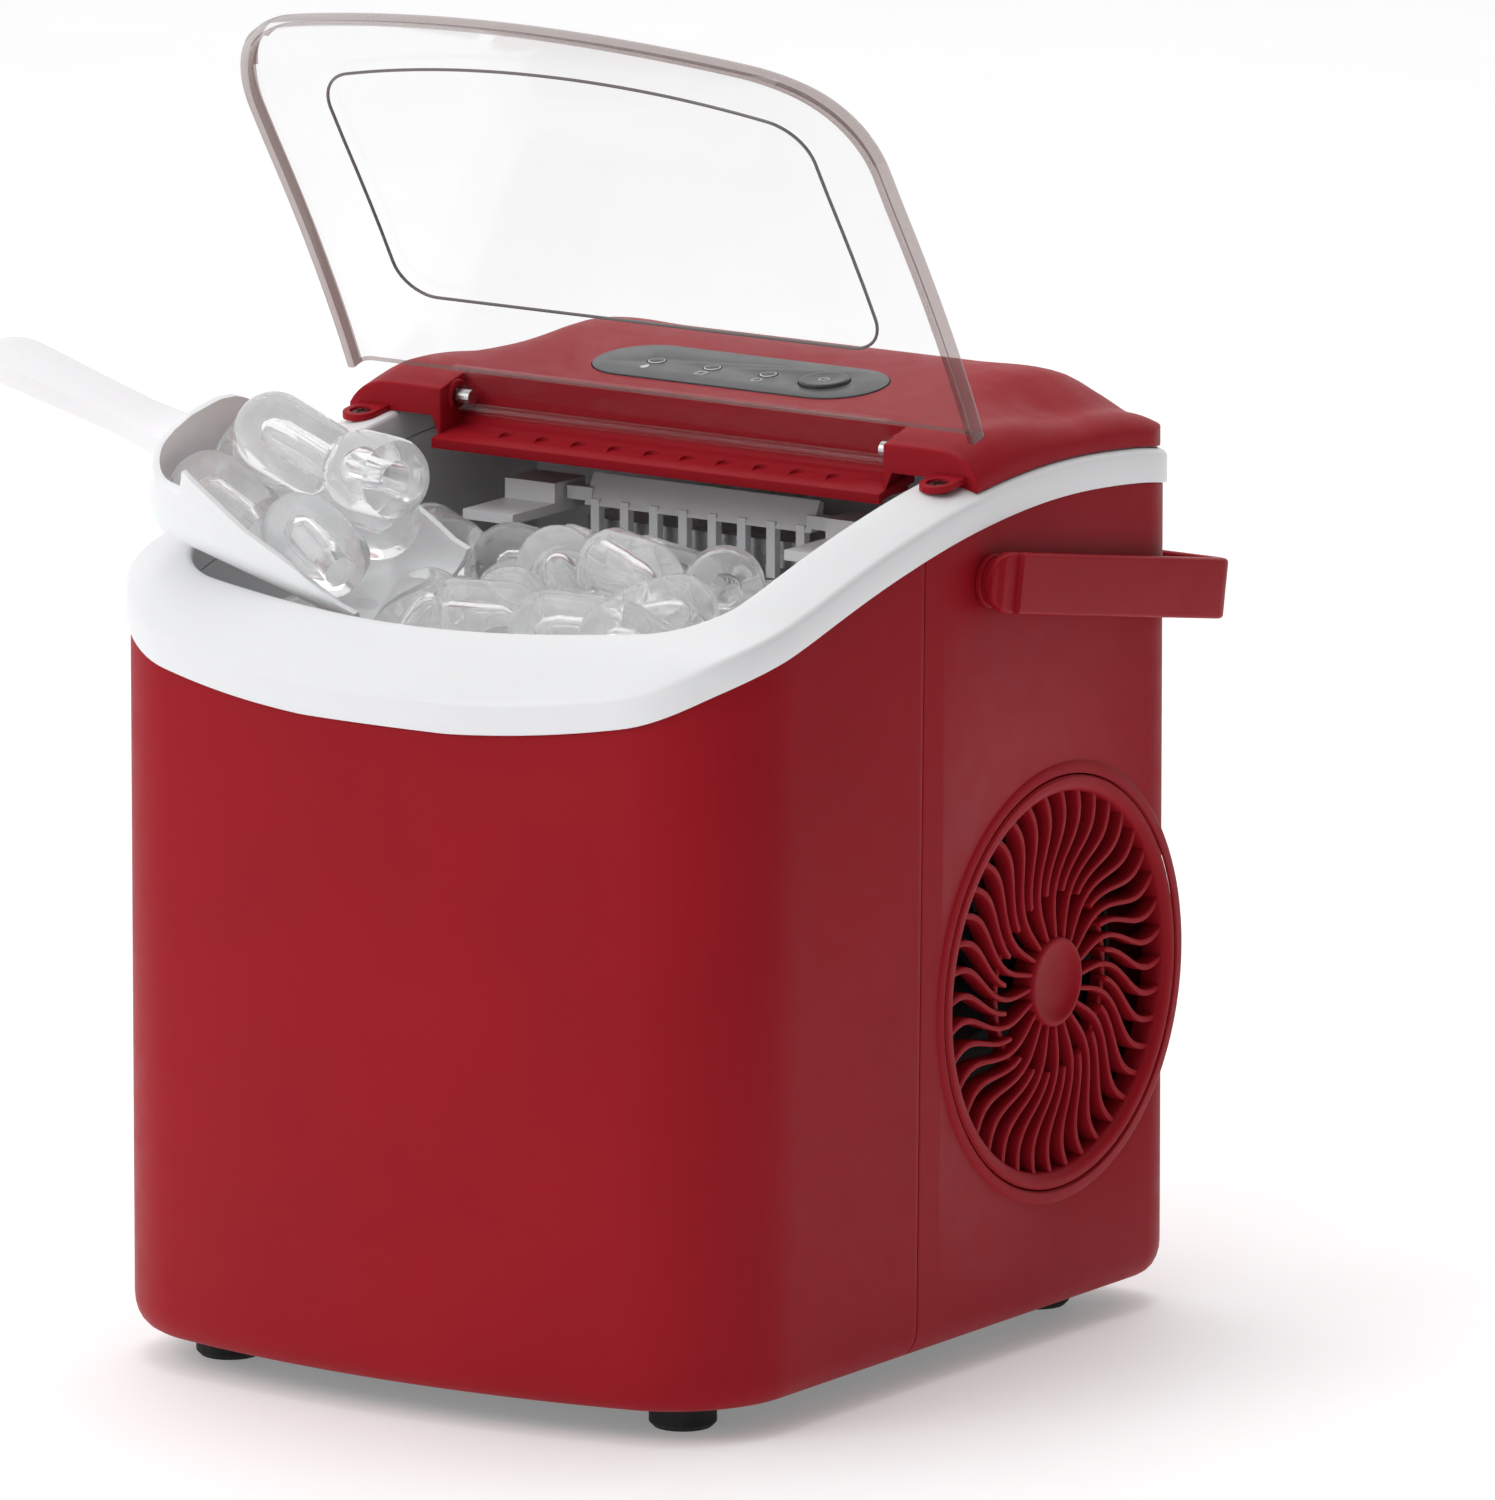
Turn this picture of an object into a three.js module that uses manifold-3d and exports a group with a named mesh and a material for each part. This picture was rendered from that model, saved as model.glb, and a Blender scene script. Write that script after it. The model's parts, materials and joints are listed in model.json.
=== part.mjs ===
// A compact countertop ice maker that drops bullet-shaped ice into a lift-out basket.
// Millimetres, +X to the right, -Y to the front, +Z up. The origin is the middle of the flat
// pad under the base tray. The lid stands open, the carry handle is folded back, and the scoop
// lies in the front left corner of the bin.
import * as THREE from 'three';
import { mergeVertices } from 'three/addons/utils/BufferGeometryUtils.js';
import Module from 'manifold-3d';

const wasm = await Module();
wasm.setup();

// ---------------------------------------------------------------- driving dimensions
const WIDTH = 226; // side face to side face
const DEPTH = 262; // front face to back face
const CREST_Z = 246; // highest point of the shells' top edge
const FRONT_CORNER_R = 42; // plan radius of the two front corners
const REAR_CORNER_R = 22; // plan radius of the two rear corners
const FRONT_BULGE = 7; // how far the front face bows out between its corners
const WALL = 2.5; // moulded wall of the shells, the tub and the cover
const GAP = 0.35; // clearance between pieces that touch
const FOOT_H = 9; // how far the feet stand below the base tray
const FOOT_R = 10;
const SEAM_Y = DEPTH / 2 - 145; // where the front shell meets the rear shell, half way up
const SEAM_LEAN = 4; // how far the seam's foot stands in front of its top
const RIM_H = 10; // height of the white rim's outer face
const RIM_W = 18.5; // plan width of the rim
const RIM_RISE = 3.4; // how much the rim's top climbs inwards
const RIM_PROUD = 1.3; // how far the rim stands out past the shells
const BRACKET_Y = 16.5; // front faces of the two hinge brackets
const BRACKET_X = WIDTH / 2 - 34; // inner faces of the two hinge brackets
const COVER_Y = 30.5; // front edge of the cover between the brackets
const HINGE_Y = 25; // lid hinge axis
const HINGE_Z = CREST_Z + 15.5;
const LID_OPEN = 72; // degrees from closed to the open stop
const LID_TOP = 19.5; // lid's top face above the shells' top edge
const LID_SHEET = 2.5; // thickness of the clear lid
const PIVOT_Y = 22; // carry handle pivot
const PIVOT_Z = CREST_Z - 19;
const STRAP_H = 18; // width of the handle's strap
const STRAP_T = 5.5; // thickness of the handle's strap
const STRAP_DROOP = 10; // degrees below level when the handle is folded back
const GRILLE_Y = DEPTH / 2 - 70.6; // middle of the fan grille
const GRILLE_Z = 99.7;
const GRILLE_R = 57; // radius of the grille's air opening
const GRILLE_RING = 5; // width of the ring round the air opening
const BASKET_FLOOR_Z = 118;
const BASKET_TOP_Z = 196;
const BASKET_REAR_Y = DEPTH / 2 - 135;
const TUB_FLOOR_Z = 30;
const TUB_STEP_Y = DEPTH / 2 - 121; // the deep front part of the tub ends here
const TUB_REAR_Y = DEPTH / 2 - 39;
const SHELF_Z = 152; // underside of the tub's shallow rear part
const TRAY_AXIS_Y = DEPTH / 2 - 56; // water tray pivot
const TRAY_AXIS_Z = 208;
const PANEL_L = 100; // control panel, left to right
const PANEL_W = 32; // control panel, front to back
const PANEL_Y = DEPTH / 2 - 72; // middle of the control panel
const LAMP_PITCH = 20; // spacing of the three lamps and the button

// ---------------------------------------------------------------- values that follow from them
const HALF_W = WIDTH / 2;
const HALF_D = DEPTH / 2;
const RAD = Math.PI / 180;

// How far the shells' top edge lies below its crest, at each share of the way front to back.
const EDGE_DROP = [[0, 49], [0.09, 32.5], [0.237, 21], [0.397, 10.5], [0.557, 3.1],
  [0.721, 0], [0.886, 2.4], [1, 7.5]];
// How far the cover's middle line lies above the crest, front to back from the brackets.
const COVER_LINE = [[0, 18.8], [0.118, 22.3], [0.232, 23.8], [0.511, 27.2], [0.66, 28.3],
  [0.817, 27.6], [1, 26]];
// Share of the cover's full height at each distance in from its side edge: by the brackets it
// rolls over at once, and towards the back it climbs in two steps with a valley between them.
const SHOULDER_FRONT = [[0, 0.22], [2, 0.52], [6, 0.83], [12, 1], [40, 1]];
const SHOULDER_REAR = [[0, 0.16], [3, 0.36], [8, 0.48], [15, 0.53], [24, 0.76], [36, 1], [60, 1]];
const SHOULDER_BACK = [[0, 0.2], [3, 0.46], [8, 0.7], [16, 0.89], [30, 1], [60, 1]];

// Cubic interpolation through a table of [position, value] rows.
function along(table, at) {
  const last = table.length - 1;
  const t = Math.min(Math.max(at, table[0][0]), table[last][0]);
  let i = 0;
  while (i < last - 1 && t > table[i + 1][0]) i += 1;
  const slope = (k) => {
    const a = table[Math.max(k - 1, 0)];
    const b = table[Math.min(k + 1, last)];
    return (b[1] - a[1]) / (b[0] - a[0]);
  };
  const [x0, y0] = table[i];
  const [x1, y1] = table[i + 1];
  const span = x1 - x0;
  const u = (t - x0) / span;
  const h = u * u * (3 - 2 * u);
  return y0 * (1 - h) + y1 * h
    + span * (slope(i) * u * (1 - u) * (1 - u) - slope(i + 1) * u * u * (1 - u));
}

// Height of the shells' top edge at a distance y from the middle.
const edgeZ = (y) => CREST_Z - along(EDGE_DROP, (y + HALF_D) / DEPTH);
const rimTopZ = (y) => edgeZ(y) + RIM_H;

// ---------------------------------------------------------------- shape helpers
function arc(points, cx, cy, r, from, to, steps) {
  for (let i = 0; i <= steps; i += 1) {
    const a = (from + (to - from) * i / steps) * RAD;
    const p = new THREE.Vector2(cx + r * Math.cos(a), cy + r * Math.sin(a));
    const last = points[points.length - 1];
    if (!last || last.distanceTo(p) > 1e-6) points.push(p);
  }
}

function straight(points, to, steps) {
  const from = points[points.length - 1].clone();
  for (let i = 1; i < steps; i += 1) points.push(from.clone().lerp(to, i / steps));
}

// The body's plan outline, seen from above, drawn inset by a distance from the outer faces.
// It has the same number of points at every inset.
function planOutline(inset) {
  const cx = HALF_W - FRONT_CORNER_R;
  const bulgeR = (cx * cx + FRONT_BULGE * FRONT_BULGE) / (2 * FRONT_BULGE);
  const bulgeY = bulgeR - HALF_D;
  const cornerY = bulgeY - Math.sqrt((bulgeR - FRONT_CORNER_R) ** 2 - cx * cx);
  const tip = Math.atan2(cornerY - bulgeY, cx) / RAD;
  const frontR = FRONT_CORNER_R - inset;
  const rearR = Math.max(REAR_CORNER_R - inset, 0.5);
  const rearX = HALF_W - inset - rearR;
  const rearY = HALF_D - inset - rearR;
  const points = [];
  arc(points, 0, bulgeY, bulgeR - inset, -180 - tip, tip, 8);
  arc(points, cx, cornerY, frontR, tip, 0, 8);
  straight(points, new THREE.Vector2(HALF_W - inset, rearY), 8);
  arc(points, rearX, rearY, rearR, 0, 90, 4);
  arc(points, -rearX, rearY, rearR, 90, 180, 4);
  straight(points, new THREE.Vector2(-(HALF_W - inset), cornerY), 8);
  arc(points, -cx, cornerY, frontR, 180, 180 - tip, 8);
  points.pop();
  return points;
}

// A geometry as a manifold solid.
function solid(geometry) {
  const bare = geometry.clone();
  bare.deleteAttribute('normal');
  bare.deleteAttribute('uv');
  const merged = mergeVertices(bare, 1e-4);
  return new wasm.Manifold(new wasm.Mesh({
    numProp: 3,
    vertProperties: new Float32Array(merged.attributes.position.array),
    triVerts: new Uint32Array(merged.index.array),
  }));
}

// A manifold solid as a geometry.
function surface(body) {
  const mesh = body.getMesh();
  const geometry = new THREE.BufferGeometry();
  geometry.setAttribute('position', new THREE.BufferAttribute(mesh.vertProperties.slice(), 3));
  geometry.setIndex(new THREE.BufferAttribute(mesh.triVerts.slice(), 1));
  geometry.computeVertexNormals();
  return geometry;
}

function box(x0, x1, y0, y1, z0, z1) {
  const geometry = new THREE.BoxGeometry(x1 - x0, y1 - y0, z1 - z0);
  return solid(geometry.translate((x0 + x1) / 2, (y0 + y1) / 2, (z0 + z1) / 2));
}

const AXES = {
  x: [new THREE.Vector3(0, 1, 0), new THREE.Vector3(0, 0, 1), new THREE.Vector3(1, 0, 0)],
  y: [new THREE.Vector3(0, 0, 1), new THREE.Vector3(1, 0, 0), new THREE.Vector3(0, 1, 0)],
  z: [new THREE.Vector3(1, 0, 0), new THREE.Vector3(0, 1, 0), new THREE.Vector3(0, 0, 1)],
};

// A prism along an axis: x takes (y, z) points, y takes (z, x) points, z takes (x, y) points.
function prism(axis, points, from, to) {
  const shape = new THREE.Shape(points.map((p) => new THREE.Vector2(p.x ?? p[0], p.y ?? p[1])));
  const options = { depth: to - from, bevelEnabled: false, steps: 1 };
  const geometry = new THREE.ExtrudeGeometry(shape, options);
  geometry.translate(0, 0, from);
  return solid(geometry.applyMatrix4(new THREE.Matrix4().makeBasis(...AXES[axis])));
}

// A round bar along an axis, centred on (u, v), which are the axis's two cross directions.
function rod(axis, u, v, r, from, to, sides = 24) {
  const points = [];
  for (let i = 0; i < sides; i += 1) {
    const a = 2 * Math.PI * (i + 0.5) / sides;
    points.push([u + r * Math.cos(a), v + r * Math.sin(a)]);
  }
  return prism(axis, points, from, to);
}

// A closed skin over rings of equal length; the rings' ends are capped.
function loft(rings) {
  const count = rings[0].length;
  const positions = rings.flat().flatMap((p) => [p.x, p.y, p.z]);
  const index = [];
  const middle = (ring) => {
    const sum = ring.reduce((s, p) => s.add(p), new THREE.Vector3());
    positions.push(...sum.divideScalar(count).toArray());
    return positions.length / 3 - 1;
  };
  for (let r = 0; r < rings.length - 1; r += 1) {
    for (let i = 0; i < count; i += 1) {
      const a = r * count + i;
      const b = r * count + (i + 1) % count;
      index.push(a, b, b + count, a, b + count, a + count);
    }
  }
  const low = middle(rings[0]);
  const high = middle(rings[rings.length - 1]);
  const top = (rings.length - 1) * count;
  for (let i = 0; i < count; i += 1) {
    const j = (i + 1) % count;
    index.push(low, j, i, high, top + i, top + j);
  }
  return solid(indexed(positions, index));
}

function indexed(positions, index) {
  const geometry = new THREE.BufferGeometry();
  geometry.setAttribute('position', new THREE.Float32BufferAttribute(positions, 3));
  geometry.setIndex(index);
  return geometry;
}

// A closed ring that follows the plan outline: each [inset, height] row of the section is
// measured from the outer face and from the shells' top edge.
function outlineRing(section) {
  const rings = section.map(([inset, rise]) => planOutline(inset)
    .map((p) => new THREE.Vector3(p.x, p.y, edgeZ(p.y) + rise)));
  const count = rings[0].length;
  const positions = rings.flat().flatMap((p) => [p.x, p.y, p.z]);
  const index = [];
  for (let r = 0; r < rings.length; r += 1) {
    const next = (r + 1) % rings.length;
    for (let i = 0; i < count; i += 1) {
      const j = (i + 1) % count;
      const quad = [r * count + i, r * count + j, next * count + j, next * count + i];
      index.push(quad[0], quad[2], quad[1], quad[0], quad[3], quad[2]);
    }
  }
  return solid(indexed(positions, index));
}

// Everything under a curve that runs front to back at a height above the shells' top edge.
// The curve is steepest at the front, so its points lie closer together there.
function under(rise) {
  const beyond = HALF_D + 10;
  const steps = 24;
  const points = [[-beyond, -50], [beyond, -50], [beyond, edgeZ(HALF_D) + rise]];
  for (let i = steps; i >= 0; i -= 1) {
    const y = -HALF_D + DEPTH * (i / steps) ** 1.4;
    points.push([y, edgeZ(y) + rise]);
  }
  points.push([-beyond, edgeZ(-HALF_D) + rise]);
  return prism('x', points, -HALF_W - 20, HALF_W + 20);
}

// The plan outline at an inset, as a prism.
const column = (inset, z0, z1) => prism('z', planOutline(inset), z0, z1);

// A solid between two height functions over a grid of plan positions.
function heightSlab(xs, ys, low, high) {
  const positions = [];
  const index = [];
  const nx = xs.length;
  const ny = ys.length;
  for (const height of [low, high]) {
    for (const y of ys) {
      for (const x of xs) positions.push(x, y, height(x, y));
    }
  }
  const at = (layer, i, j) => layer * nx * ny + j * nx + i;
  const quad = (a, b, c, d) => index.push(a, b, c, a, c, d);
  for (let j = 0; j < ny - 1; j += 1) {
    for (let i = 0; i < nx - 1; i += 1) {
      quad(at(1, i, j), at(1, i + 1, j), at(1, i + 1, j + 1), at(1, i, j + 1));
      quad(at(0, i, j), at(0, i, j + 1), at(0, i + 1, j + 1), at(0, i + 1, j));
    }
  }
  for (let i = 0; i < nx - 1; i += 1) {
    quad(at(0, i, 0), at(0, i + 1, 0), at(1, i + 1, 0), at(1, i, 0));
    quad(at(0, i + 1, ny - 1), at(0, i, ny - 1), at(1, i, ny - 1), at(1, i + 1, ny - 1));
  }
  for (let j = 0; j < ny - 1; j += 1) {
    quad(at(0, 0, j + 1), at(0, 0, j), at(1, 0, j), at(1, 0, j + 1));
    quad(at(0, nx - 1, j), at(0, nx - 1, j + 1), at(1, nx - 1, j + 1), at(1, nx - 1, j));
  }
  return solid(indexed(positions, index));
}

// A round tube along a smooth path through the points.
function tube(points, r, steps, sides = 8) {
  const path = new THREE.CatmullRomCurve3(points.map((p) => new THREE.Vector3(...p)));
  const rim = [];
  arc(rim, 0, 0, r, 0, 360 * (sides - 1) / sides, sides - 1);
  const outline = new THREE.Shape(rim);
  return solid(new THREE.ExtrudeGeometry(outline, { steps, extrudePath: path }));
}

// A solid of revolution about an upright axis from (radius, height) rows.
function turned(rows, segments = 20) {
  const points = rows.map(([r, z]) => new THREE.Vector2(r, z));
  return solid(new THREE.LatheGeometry(points, segments).rotateX(Math.PI / 2));
}

function stadium(length, width, steps = 8) {
  const points = [];
  const r = width / 2;
  arc(points, length / 2 - r, 0, r, -90, 90, steps);
  arc(points, -(length / 2 - r), 0, r, 90, 270, steps);
  return points;
}

function roundedRect(x0, x1, y0, y1, r, steps = 3) {
  const points = [];
  arc(points, x1 - r, y0 + r, r, -90, 0, steps);
  arc(points, x1 - r, y1 - r, r, 0, 90, steps);
  arc(points, x0 + r, y1 - r, r, 90, 180, steps);
  arc(points, x0 + r, y0 + r, r, 180, 270, steps);
  return points;
}

const join = (pieces) => wasm.Manifold.union(pieces);
const cut = (body, tools) => tools.reduce((rest, tool) => rest.subtract(tool), body);

// ---------------------------------------------------------------- materials
const material = (color, roughness, metalness = 0, opacity = 1) => new THREE.MeshStandardMaterial({
  color, roughness, metalness, opacity, transparent: opacity < 1,
});
const RED = material(0xa3222e, 0.38);
const WHITE = material(0xf1f2f4, 0.35);
const CLEAR = material(0xe8eef0, 0.08, 0, 0.3);
const DARK = material(0x3b3d3f, 0.4);
const BLACK = material(0x161616, 0.7);
const GREY = material(0xb9bcc0, 0.5);
const STEEL = material(0xc9ccd0, 0.3, 0.9);
const COPPER = material(0xb87345, 0.35, 0.9);
const GREEN = material(0x1f5a38, 0.5);
const LAMP = material(0xf6f7f0, 0.2);

const model = new THREE.Group();

function add(name, body, look, parent = model) {
  const mesh = new THREE.Mesh(surface(body), look);
  mesh.name = name;
  parent.add(mesh);
  return mesh;
}

// ---------------------------------------------------------------- outer shells
const BASE_EDGE = [[7, 0], [4, 1.2], [1.6, 4], [0, 10]]; // the shells' rounded bottom edge
const SHELL_TOP = CREST_Z + 20;

function shellSkin() {
  const ring = (inset, z) => planOutline(inset).map((p) => new THREE.Vector3(p.x, p.y, z));
  const outer = loft([...BASE_EDGE.map(([i, z]) => ring(i, z)), ring(0, SHELL_TOP)]);
  const inside = BASE_EDGE.map(([i, z]) => ring(i + WALL, z));
  const inner = loft([ring(BASE_EDGE[0][0] + WALL, -5), ...inside, ring(WALL, SHELL_TOP + 5)]);
  return outer.subtract(inner).intersect(under(-GAP));
}

function grilleHole(r) {
  return rod('x', GRILLE_Y, GRILLE_Z, r, HALF_W - 12, HALF_W + 12, 40);
}

const VENT_SLOTS = 8;
const VENT_PITCH = 9;

function leftVents() {
  const slots = [];
  for (let i = 0; i < VENT_SLOTS; i += 1) {
    const z = GRILLE_Z + (i - (VENT_SLOTS - 1) / 2) * VENT_PITCH;
    slots.push(box(-HALF_W - 5, -HALF_W + 8, GRILLE_Y - 36, GRILLE_Y + 36, z - 2, z + 2));
  }
  return slots;
}

const GLAND_X = -70;
const GLAND_Z = 34;
const GLAND_R = 8;
const PIN_R = 5; // carry handle pivot pin

// Everything in front of the leaning seam (side -1) or behind it (side 1).
function seamSide(side) {
  const near = SEAM_Y + side * GAP / 2;
  const far = side * DEPTH;
  const low = -CREST_Z;
  const high = 2 * CREST_Z;
  const lean = SEAM_LEAN * (high - low) / CREST_Z / 2;
  const points = [[near - lean, low], [near + lean, high], [far, high], [far, low]];
  return prism('x', points, -WIDTH, WIDTH);
}

const skin = shellSkin();
add('front_shell', skin.intersect(seamSide(-1)), RED);
add('rear_shell', cut(skin.intersect(seamSide(1)), [
  grilleHole(GRILLE_R + GRILLE_RING + GAP),
  ...leftVents(),
  rod('y', GLAND_Z, GLAND_X, GLAND_R + GAP, HALF_D - 10, HALF_D + 10, 16),
  rod('x', PIVOT_Y, PIVOT_Z, PIN_R + GAP, -HALF_W - 5, HALF_W + 5, 16),
]), RED);

// ---------------------------------------------------------------- base tray and feet
const TRAY_INSET = BASE_EDGE[0][0] + WALL + GAP;
const DRAIN_X = -58;
const DRAIN_Y = -70;
const DRAIN_R = 11;

const PAD_H = 0.8; // the flat pad under the tray that names the origin
const PAD_L = 60;
const PAD_W = 30;

function baseTray() {
  const tray = column(TRAY_INSET, PAD_H, 3);
  const plate = tray.add(box(-PAD_L / 2, PAD_L / 2, -PAD_W / 2, PAD_W / 2, 0, 2));
  const flange = column(TRAY_INSET, 2, 9).subtract(column(TRAY_INSET + 2.5, 1, 10));
  return cut(join([plate, flange]), [rod('z', DRAIN_X, DRAIN_Y, DRAIN_R + GAP, -1, 12)]);
}
add('base_tray', baseTray(), BLACK);

const FOOT_IN = 32; // feet stand in from the side faces by this much
const FOOT_FRONT_Y = -HALF_D + 40;
const FOOT_REAR_Y = HALF_D - 34;
for (const [name, side, y] of [['foot_front_left', -1, FOOT_FRONT_Y],
  ['foot_front_right', 1, FOOT_FRONT_Y], ['foot_rear_left', -1, FOOT_REAR_Y],
  ['foot_rear_right', 1, FOOT_REAR_Y]]) {
  const foot = turned([[0, -FOOT_H], [FOOT_R - 1.5, -FOOT_H], [FOOT_R, -FOOT_H + 1.5],
    [FOOT_R, PAD_H - GAP], [0, PAD_H - GAP]]);
  add(name, foot.translate(side * (HALF_W - FOOT_IN), y, 0), BLACK);
}

// ---------------------------------------------------------------- rim
const EAR_X = HALF_W - 10; // the cover's two front screws
const EAR_Y = 9.5;
const EAR_R = 5.5;
const EAR_T = 2;
const EAR_RISE = RIM_H + RIM_RISE * (HALF_W - EAR_X + EAR_R) / RIM_W + GAP;
const SCREW_R = 1.5;
const SCREW_HEAD_R = 3;

function screwHoles(r, z0, z1) {
  return [-1, 1].map((side) => rod('z', side * EAR_X, EAR_Y, r, z0, z1, 12));
}

const rimSection = [[-RIM_PROUD, 0], [3, 0], [3, 6.5], [RIM_W - 3, 6.5 + RIM_RISE * 0.7],
  [RIM_W - 3, 4], [RIM_W, 4], [RIM_W, RIM_H + RIM_RISE - 1], [RIM_W - 1, RIM_H + RIM_RISE],
  [-0.2, RIM_H], [-RIM_PROUD, RIM_H - 1.2]];
const rimHoles = screwHoles(SCREW_R + GAP, CREST_Z - 20, CREST_Z + 40);
add('rim_frame', cut(outlineRing(rimSection), rimHoles), WHITE);

// ---------------------------------------------------------------- tub inside the body
const TUB_INSET = RIM_W - WALL;
const PIPE_X = -20;
const PIPE_Z = 222;
const PIPE_R = 3;

function tubBlock(inset, floor, shelf, stepY, rearY) {
  const deep = column(inset, floor, SHELL_TOP)
    .intersect(box(-WIDTH, WIDTH, -DEPTH, stepY, floor, SHELL_TOP));
  const half = HALF_W - inset;
  const back = box(-half, half, stepY - 1, rearY, shelf, SHELL_TOP);
  return deep.add(back);
}

function tub() {
  const outer = tubBlock(TUB_INSET, TUB_FLOOR_Z, SHELF_Z, TUB_STEP_Y, TUB_REAR_Y);
  const inner = tubBlock(RIM_W, TUB_FLOOR_Z + WALL, SHELF_Z + WALL, TUB_STEP_Y - WALL,
    TUB_REAR_Y - WALL);
  const trimmed = outer.subtract(inner).intersect(under(4 - GAP));
  return cut(trimmed, [
    rod('z', DRAIN_X, DRAIN_Y, 6 + GAP, TUB_FLOOR_Z - 2, TUB_FLOOR_Z + 5, 16),
    rod('y', PIPE_Z, PIPE_X, PIPE_R + 2 * GAP, TUB_REAR_Y - 6, TUB_REAR_Y + 4, 12),
  ]);
}
add('bin_tub', tub(), WHITE);

// ---------------------------------------------------------------- drain plug
function drainPlug() {
  const cap = turned([[0, -6], [DRAIN_R, -6], [DRAIN_R, 4], [0, 4]]);
  const stem = turned([[0, 3], [6, 3], [6, TUB_FLOOR_Z + WALL], [0, TUB_FLOOR_Z + WALL]], 16);
  const beside = [[-DRAIN_R, -2], [2, DRAIN_R]];
  const grips = beside.map(([y0, y1]) => box(-DRAIN_R, DRAIN_R, y0, y1, -7, -3));
  return cut(join([cap, stem]), grips).translate(DRAIN_X, DRAIN_Y, 0);
}
add('drain_plug', drainPlug(), BLACK);

// ---------------------------------------------------------------- basket
const BASKET_INSET = RIM_W + 2.5;
const BASKET_WALL = 2;

function basketColumn(inset, rearY, z0, z1) {
  return column(inset, z0, z1).intersect(box(-WIDTH, WIDTH, -DEPTH, rearY, z0, z1));
}

function basket() {
  const outer = basketColumn(BASKET_INSET, BASKET_REAR_Y, BASKET_FLOOR_Z, BASKET_TOP_Z);
  const inner = basketColumn(BASKET_INSET + BASKET_WALL, BASKET_REAR_Y - BASKET_WALL,
    BASKET_FLOOR_Z + BASKET_WALL, BASKET_TOP_Z + 5);
  const slots = [];
  for (const x of [-60, -30, 0, 30, 60]) {
    for (const y of [-88, -58, -28]) {
      slots.push(box(x - 9, x + 9, y - 2.5, y + 2.5, BASKET_FLOOR_Z - 2, BASKET_FLOOR_Z + 4));
    }
  }
  return cut(outer, [inner, ...slots]);
}
add('ice_basket', basket(), WHITE);

// ---------------------------------------------------------------- top cover
const COVER_REACH = HALF_D - BRACKET_Y; // brackets' front faces to the back face

const coverLineZ = (y) => CREST_Z + along(COVER_LINE, (y - BRACKET_Y) / COVER_REACH);
const coverFootZ = (y) => rimTopZ(y) + GAP;

function coverTopZ(x, y) {
  const side = HALF_W - Math.abs(x);
  const back = HALF_D - y;
  const blend = THREE.MathUtils.smoothstep(y, COVER_Y, COVER_Y + 55);
  const shoulder = along(SHOULDER_FRONT, side) * (1 - blend) + along(SHOULDER_REAR, side) * blend;
  const foot = coverFootZ(y);
  return foot + (coverLineZ(y) - foot) * shoulder * along(SHOULDER_BACK, back);
}

// The rim's top climbs inwards, so what stands on it starts a little higher there.
const overRimZ = (x, y) => coverFootZ(y)
  + RIM_RISE * Math.min(1, (HALF_W - Math.abs(x) + 1.5) / (RIM_W - 1));

const coverUnderZ = (x, y) => Math.max(coverTopZ(x, y) - WALL, coverFootZ(y));

function panelPlate(length, width, low, high) {
  const plate = prism('z', stadium(length, width, 8), low, high);
  return onPanel(plate);
}

// Places a solid made about the panel's own flat middle onto the cover.
const PANEL_TILT = Math.atan2(coverLineZ(PANEL_Y + 10) - coverLineZ(PANEL_Y - 10), 20) / RAD;
function onPanel(body) {
  return body.rotate([PANEL_TILT, 0, 0]).translate([0, PANEL_Y, coverLineZ(PANEL_Y)]);
}

const LAMPS_X = [-1.5, -0.5, 0.5].map((n) => n * LAMP_PITCH);
const BUTTON_X = 1.5 * LAMP_PITCH;
const BUTTON_R = 7.6;
const LAMP_R = 2.6;
const PANEL_T = 1.6;
const PANEL_PROUD = 0.4;

function mirrored(list) {
  return [...list.map((x) => -x).reverse(), ...list];
}

function coverDome() {
  const inward = [0, 2, 5, 11, 18, 27, 38];
  const right = inward.map((d) => HALF_W - d).reverse();
  const ys = [0, 0.2, 0.4, 0.6, 0.75, 0.86, 0.93, 0.97, 1]
    .map((t) => COVER_Y + (HALF_D - COVER_Y) * t);
  const dome = heightSlab(mirrored([HALF_W - 78, ...right]), ys, coverUnderZ, coverTopZ);
  return dome.intersect(column(0.8, CREST_Z - 20, CREST_Z + 60));
}

function bracket(side) {
  const steps = [HALF_W - BRACKET_X, 23, 13, 8, 4, 0.8];
  const xs = steps.map((x) => side * (HALF_W - x));
  if (side < 0) xs.reverse();
  const ys = [BRACKET_Y, 21, 26, COVER_Y + 1];
  const block = heightSlab(xs, ys, overRimZ, coverTopZ);
  const ear = join([
    rod('z', side * EAR_X, EAR_Y, EAR_R, CREST_Z - 20, CREST_Z + 40),
    box(side * EAR_X - EAR_R, side * EAR_X + EAR_R, EAR_Y, BRACKET_Y + 1,
      CREST_Z - 20, CREST_Z + 40),
  ]).intersect(under(EAR_RISE + EAR_T)).subtract(under(EAR_RISE));
  const bore = rod('x', HINGE_Y, HINGE_Z, HINGE_PIN_R + GAP, -BRACKET_X - 8, BRACKET_X + 8, 16);
  return cut(join([block, ear]), [bore]);
}

const HINGE_PIN_R = 2.5;
const FLOOR_LOW_Z = CREST_Z + 4.5; // the trough's floor at its front edge
const FLOOR_HIGH_Z = CREST_Z + 7.5; // and at the foot of its back wall
const TROUGH_Y = 13;

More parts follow.
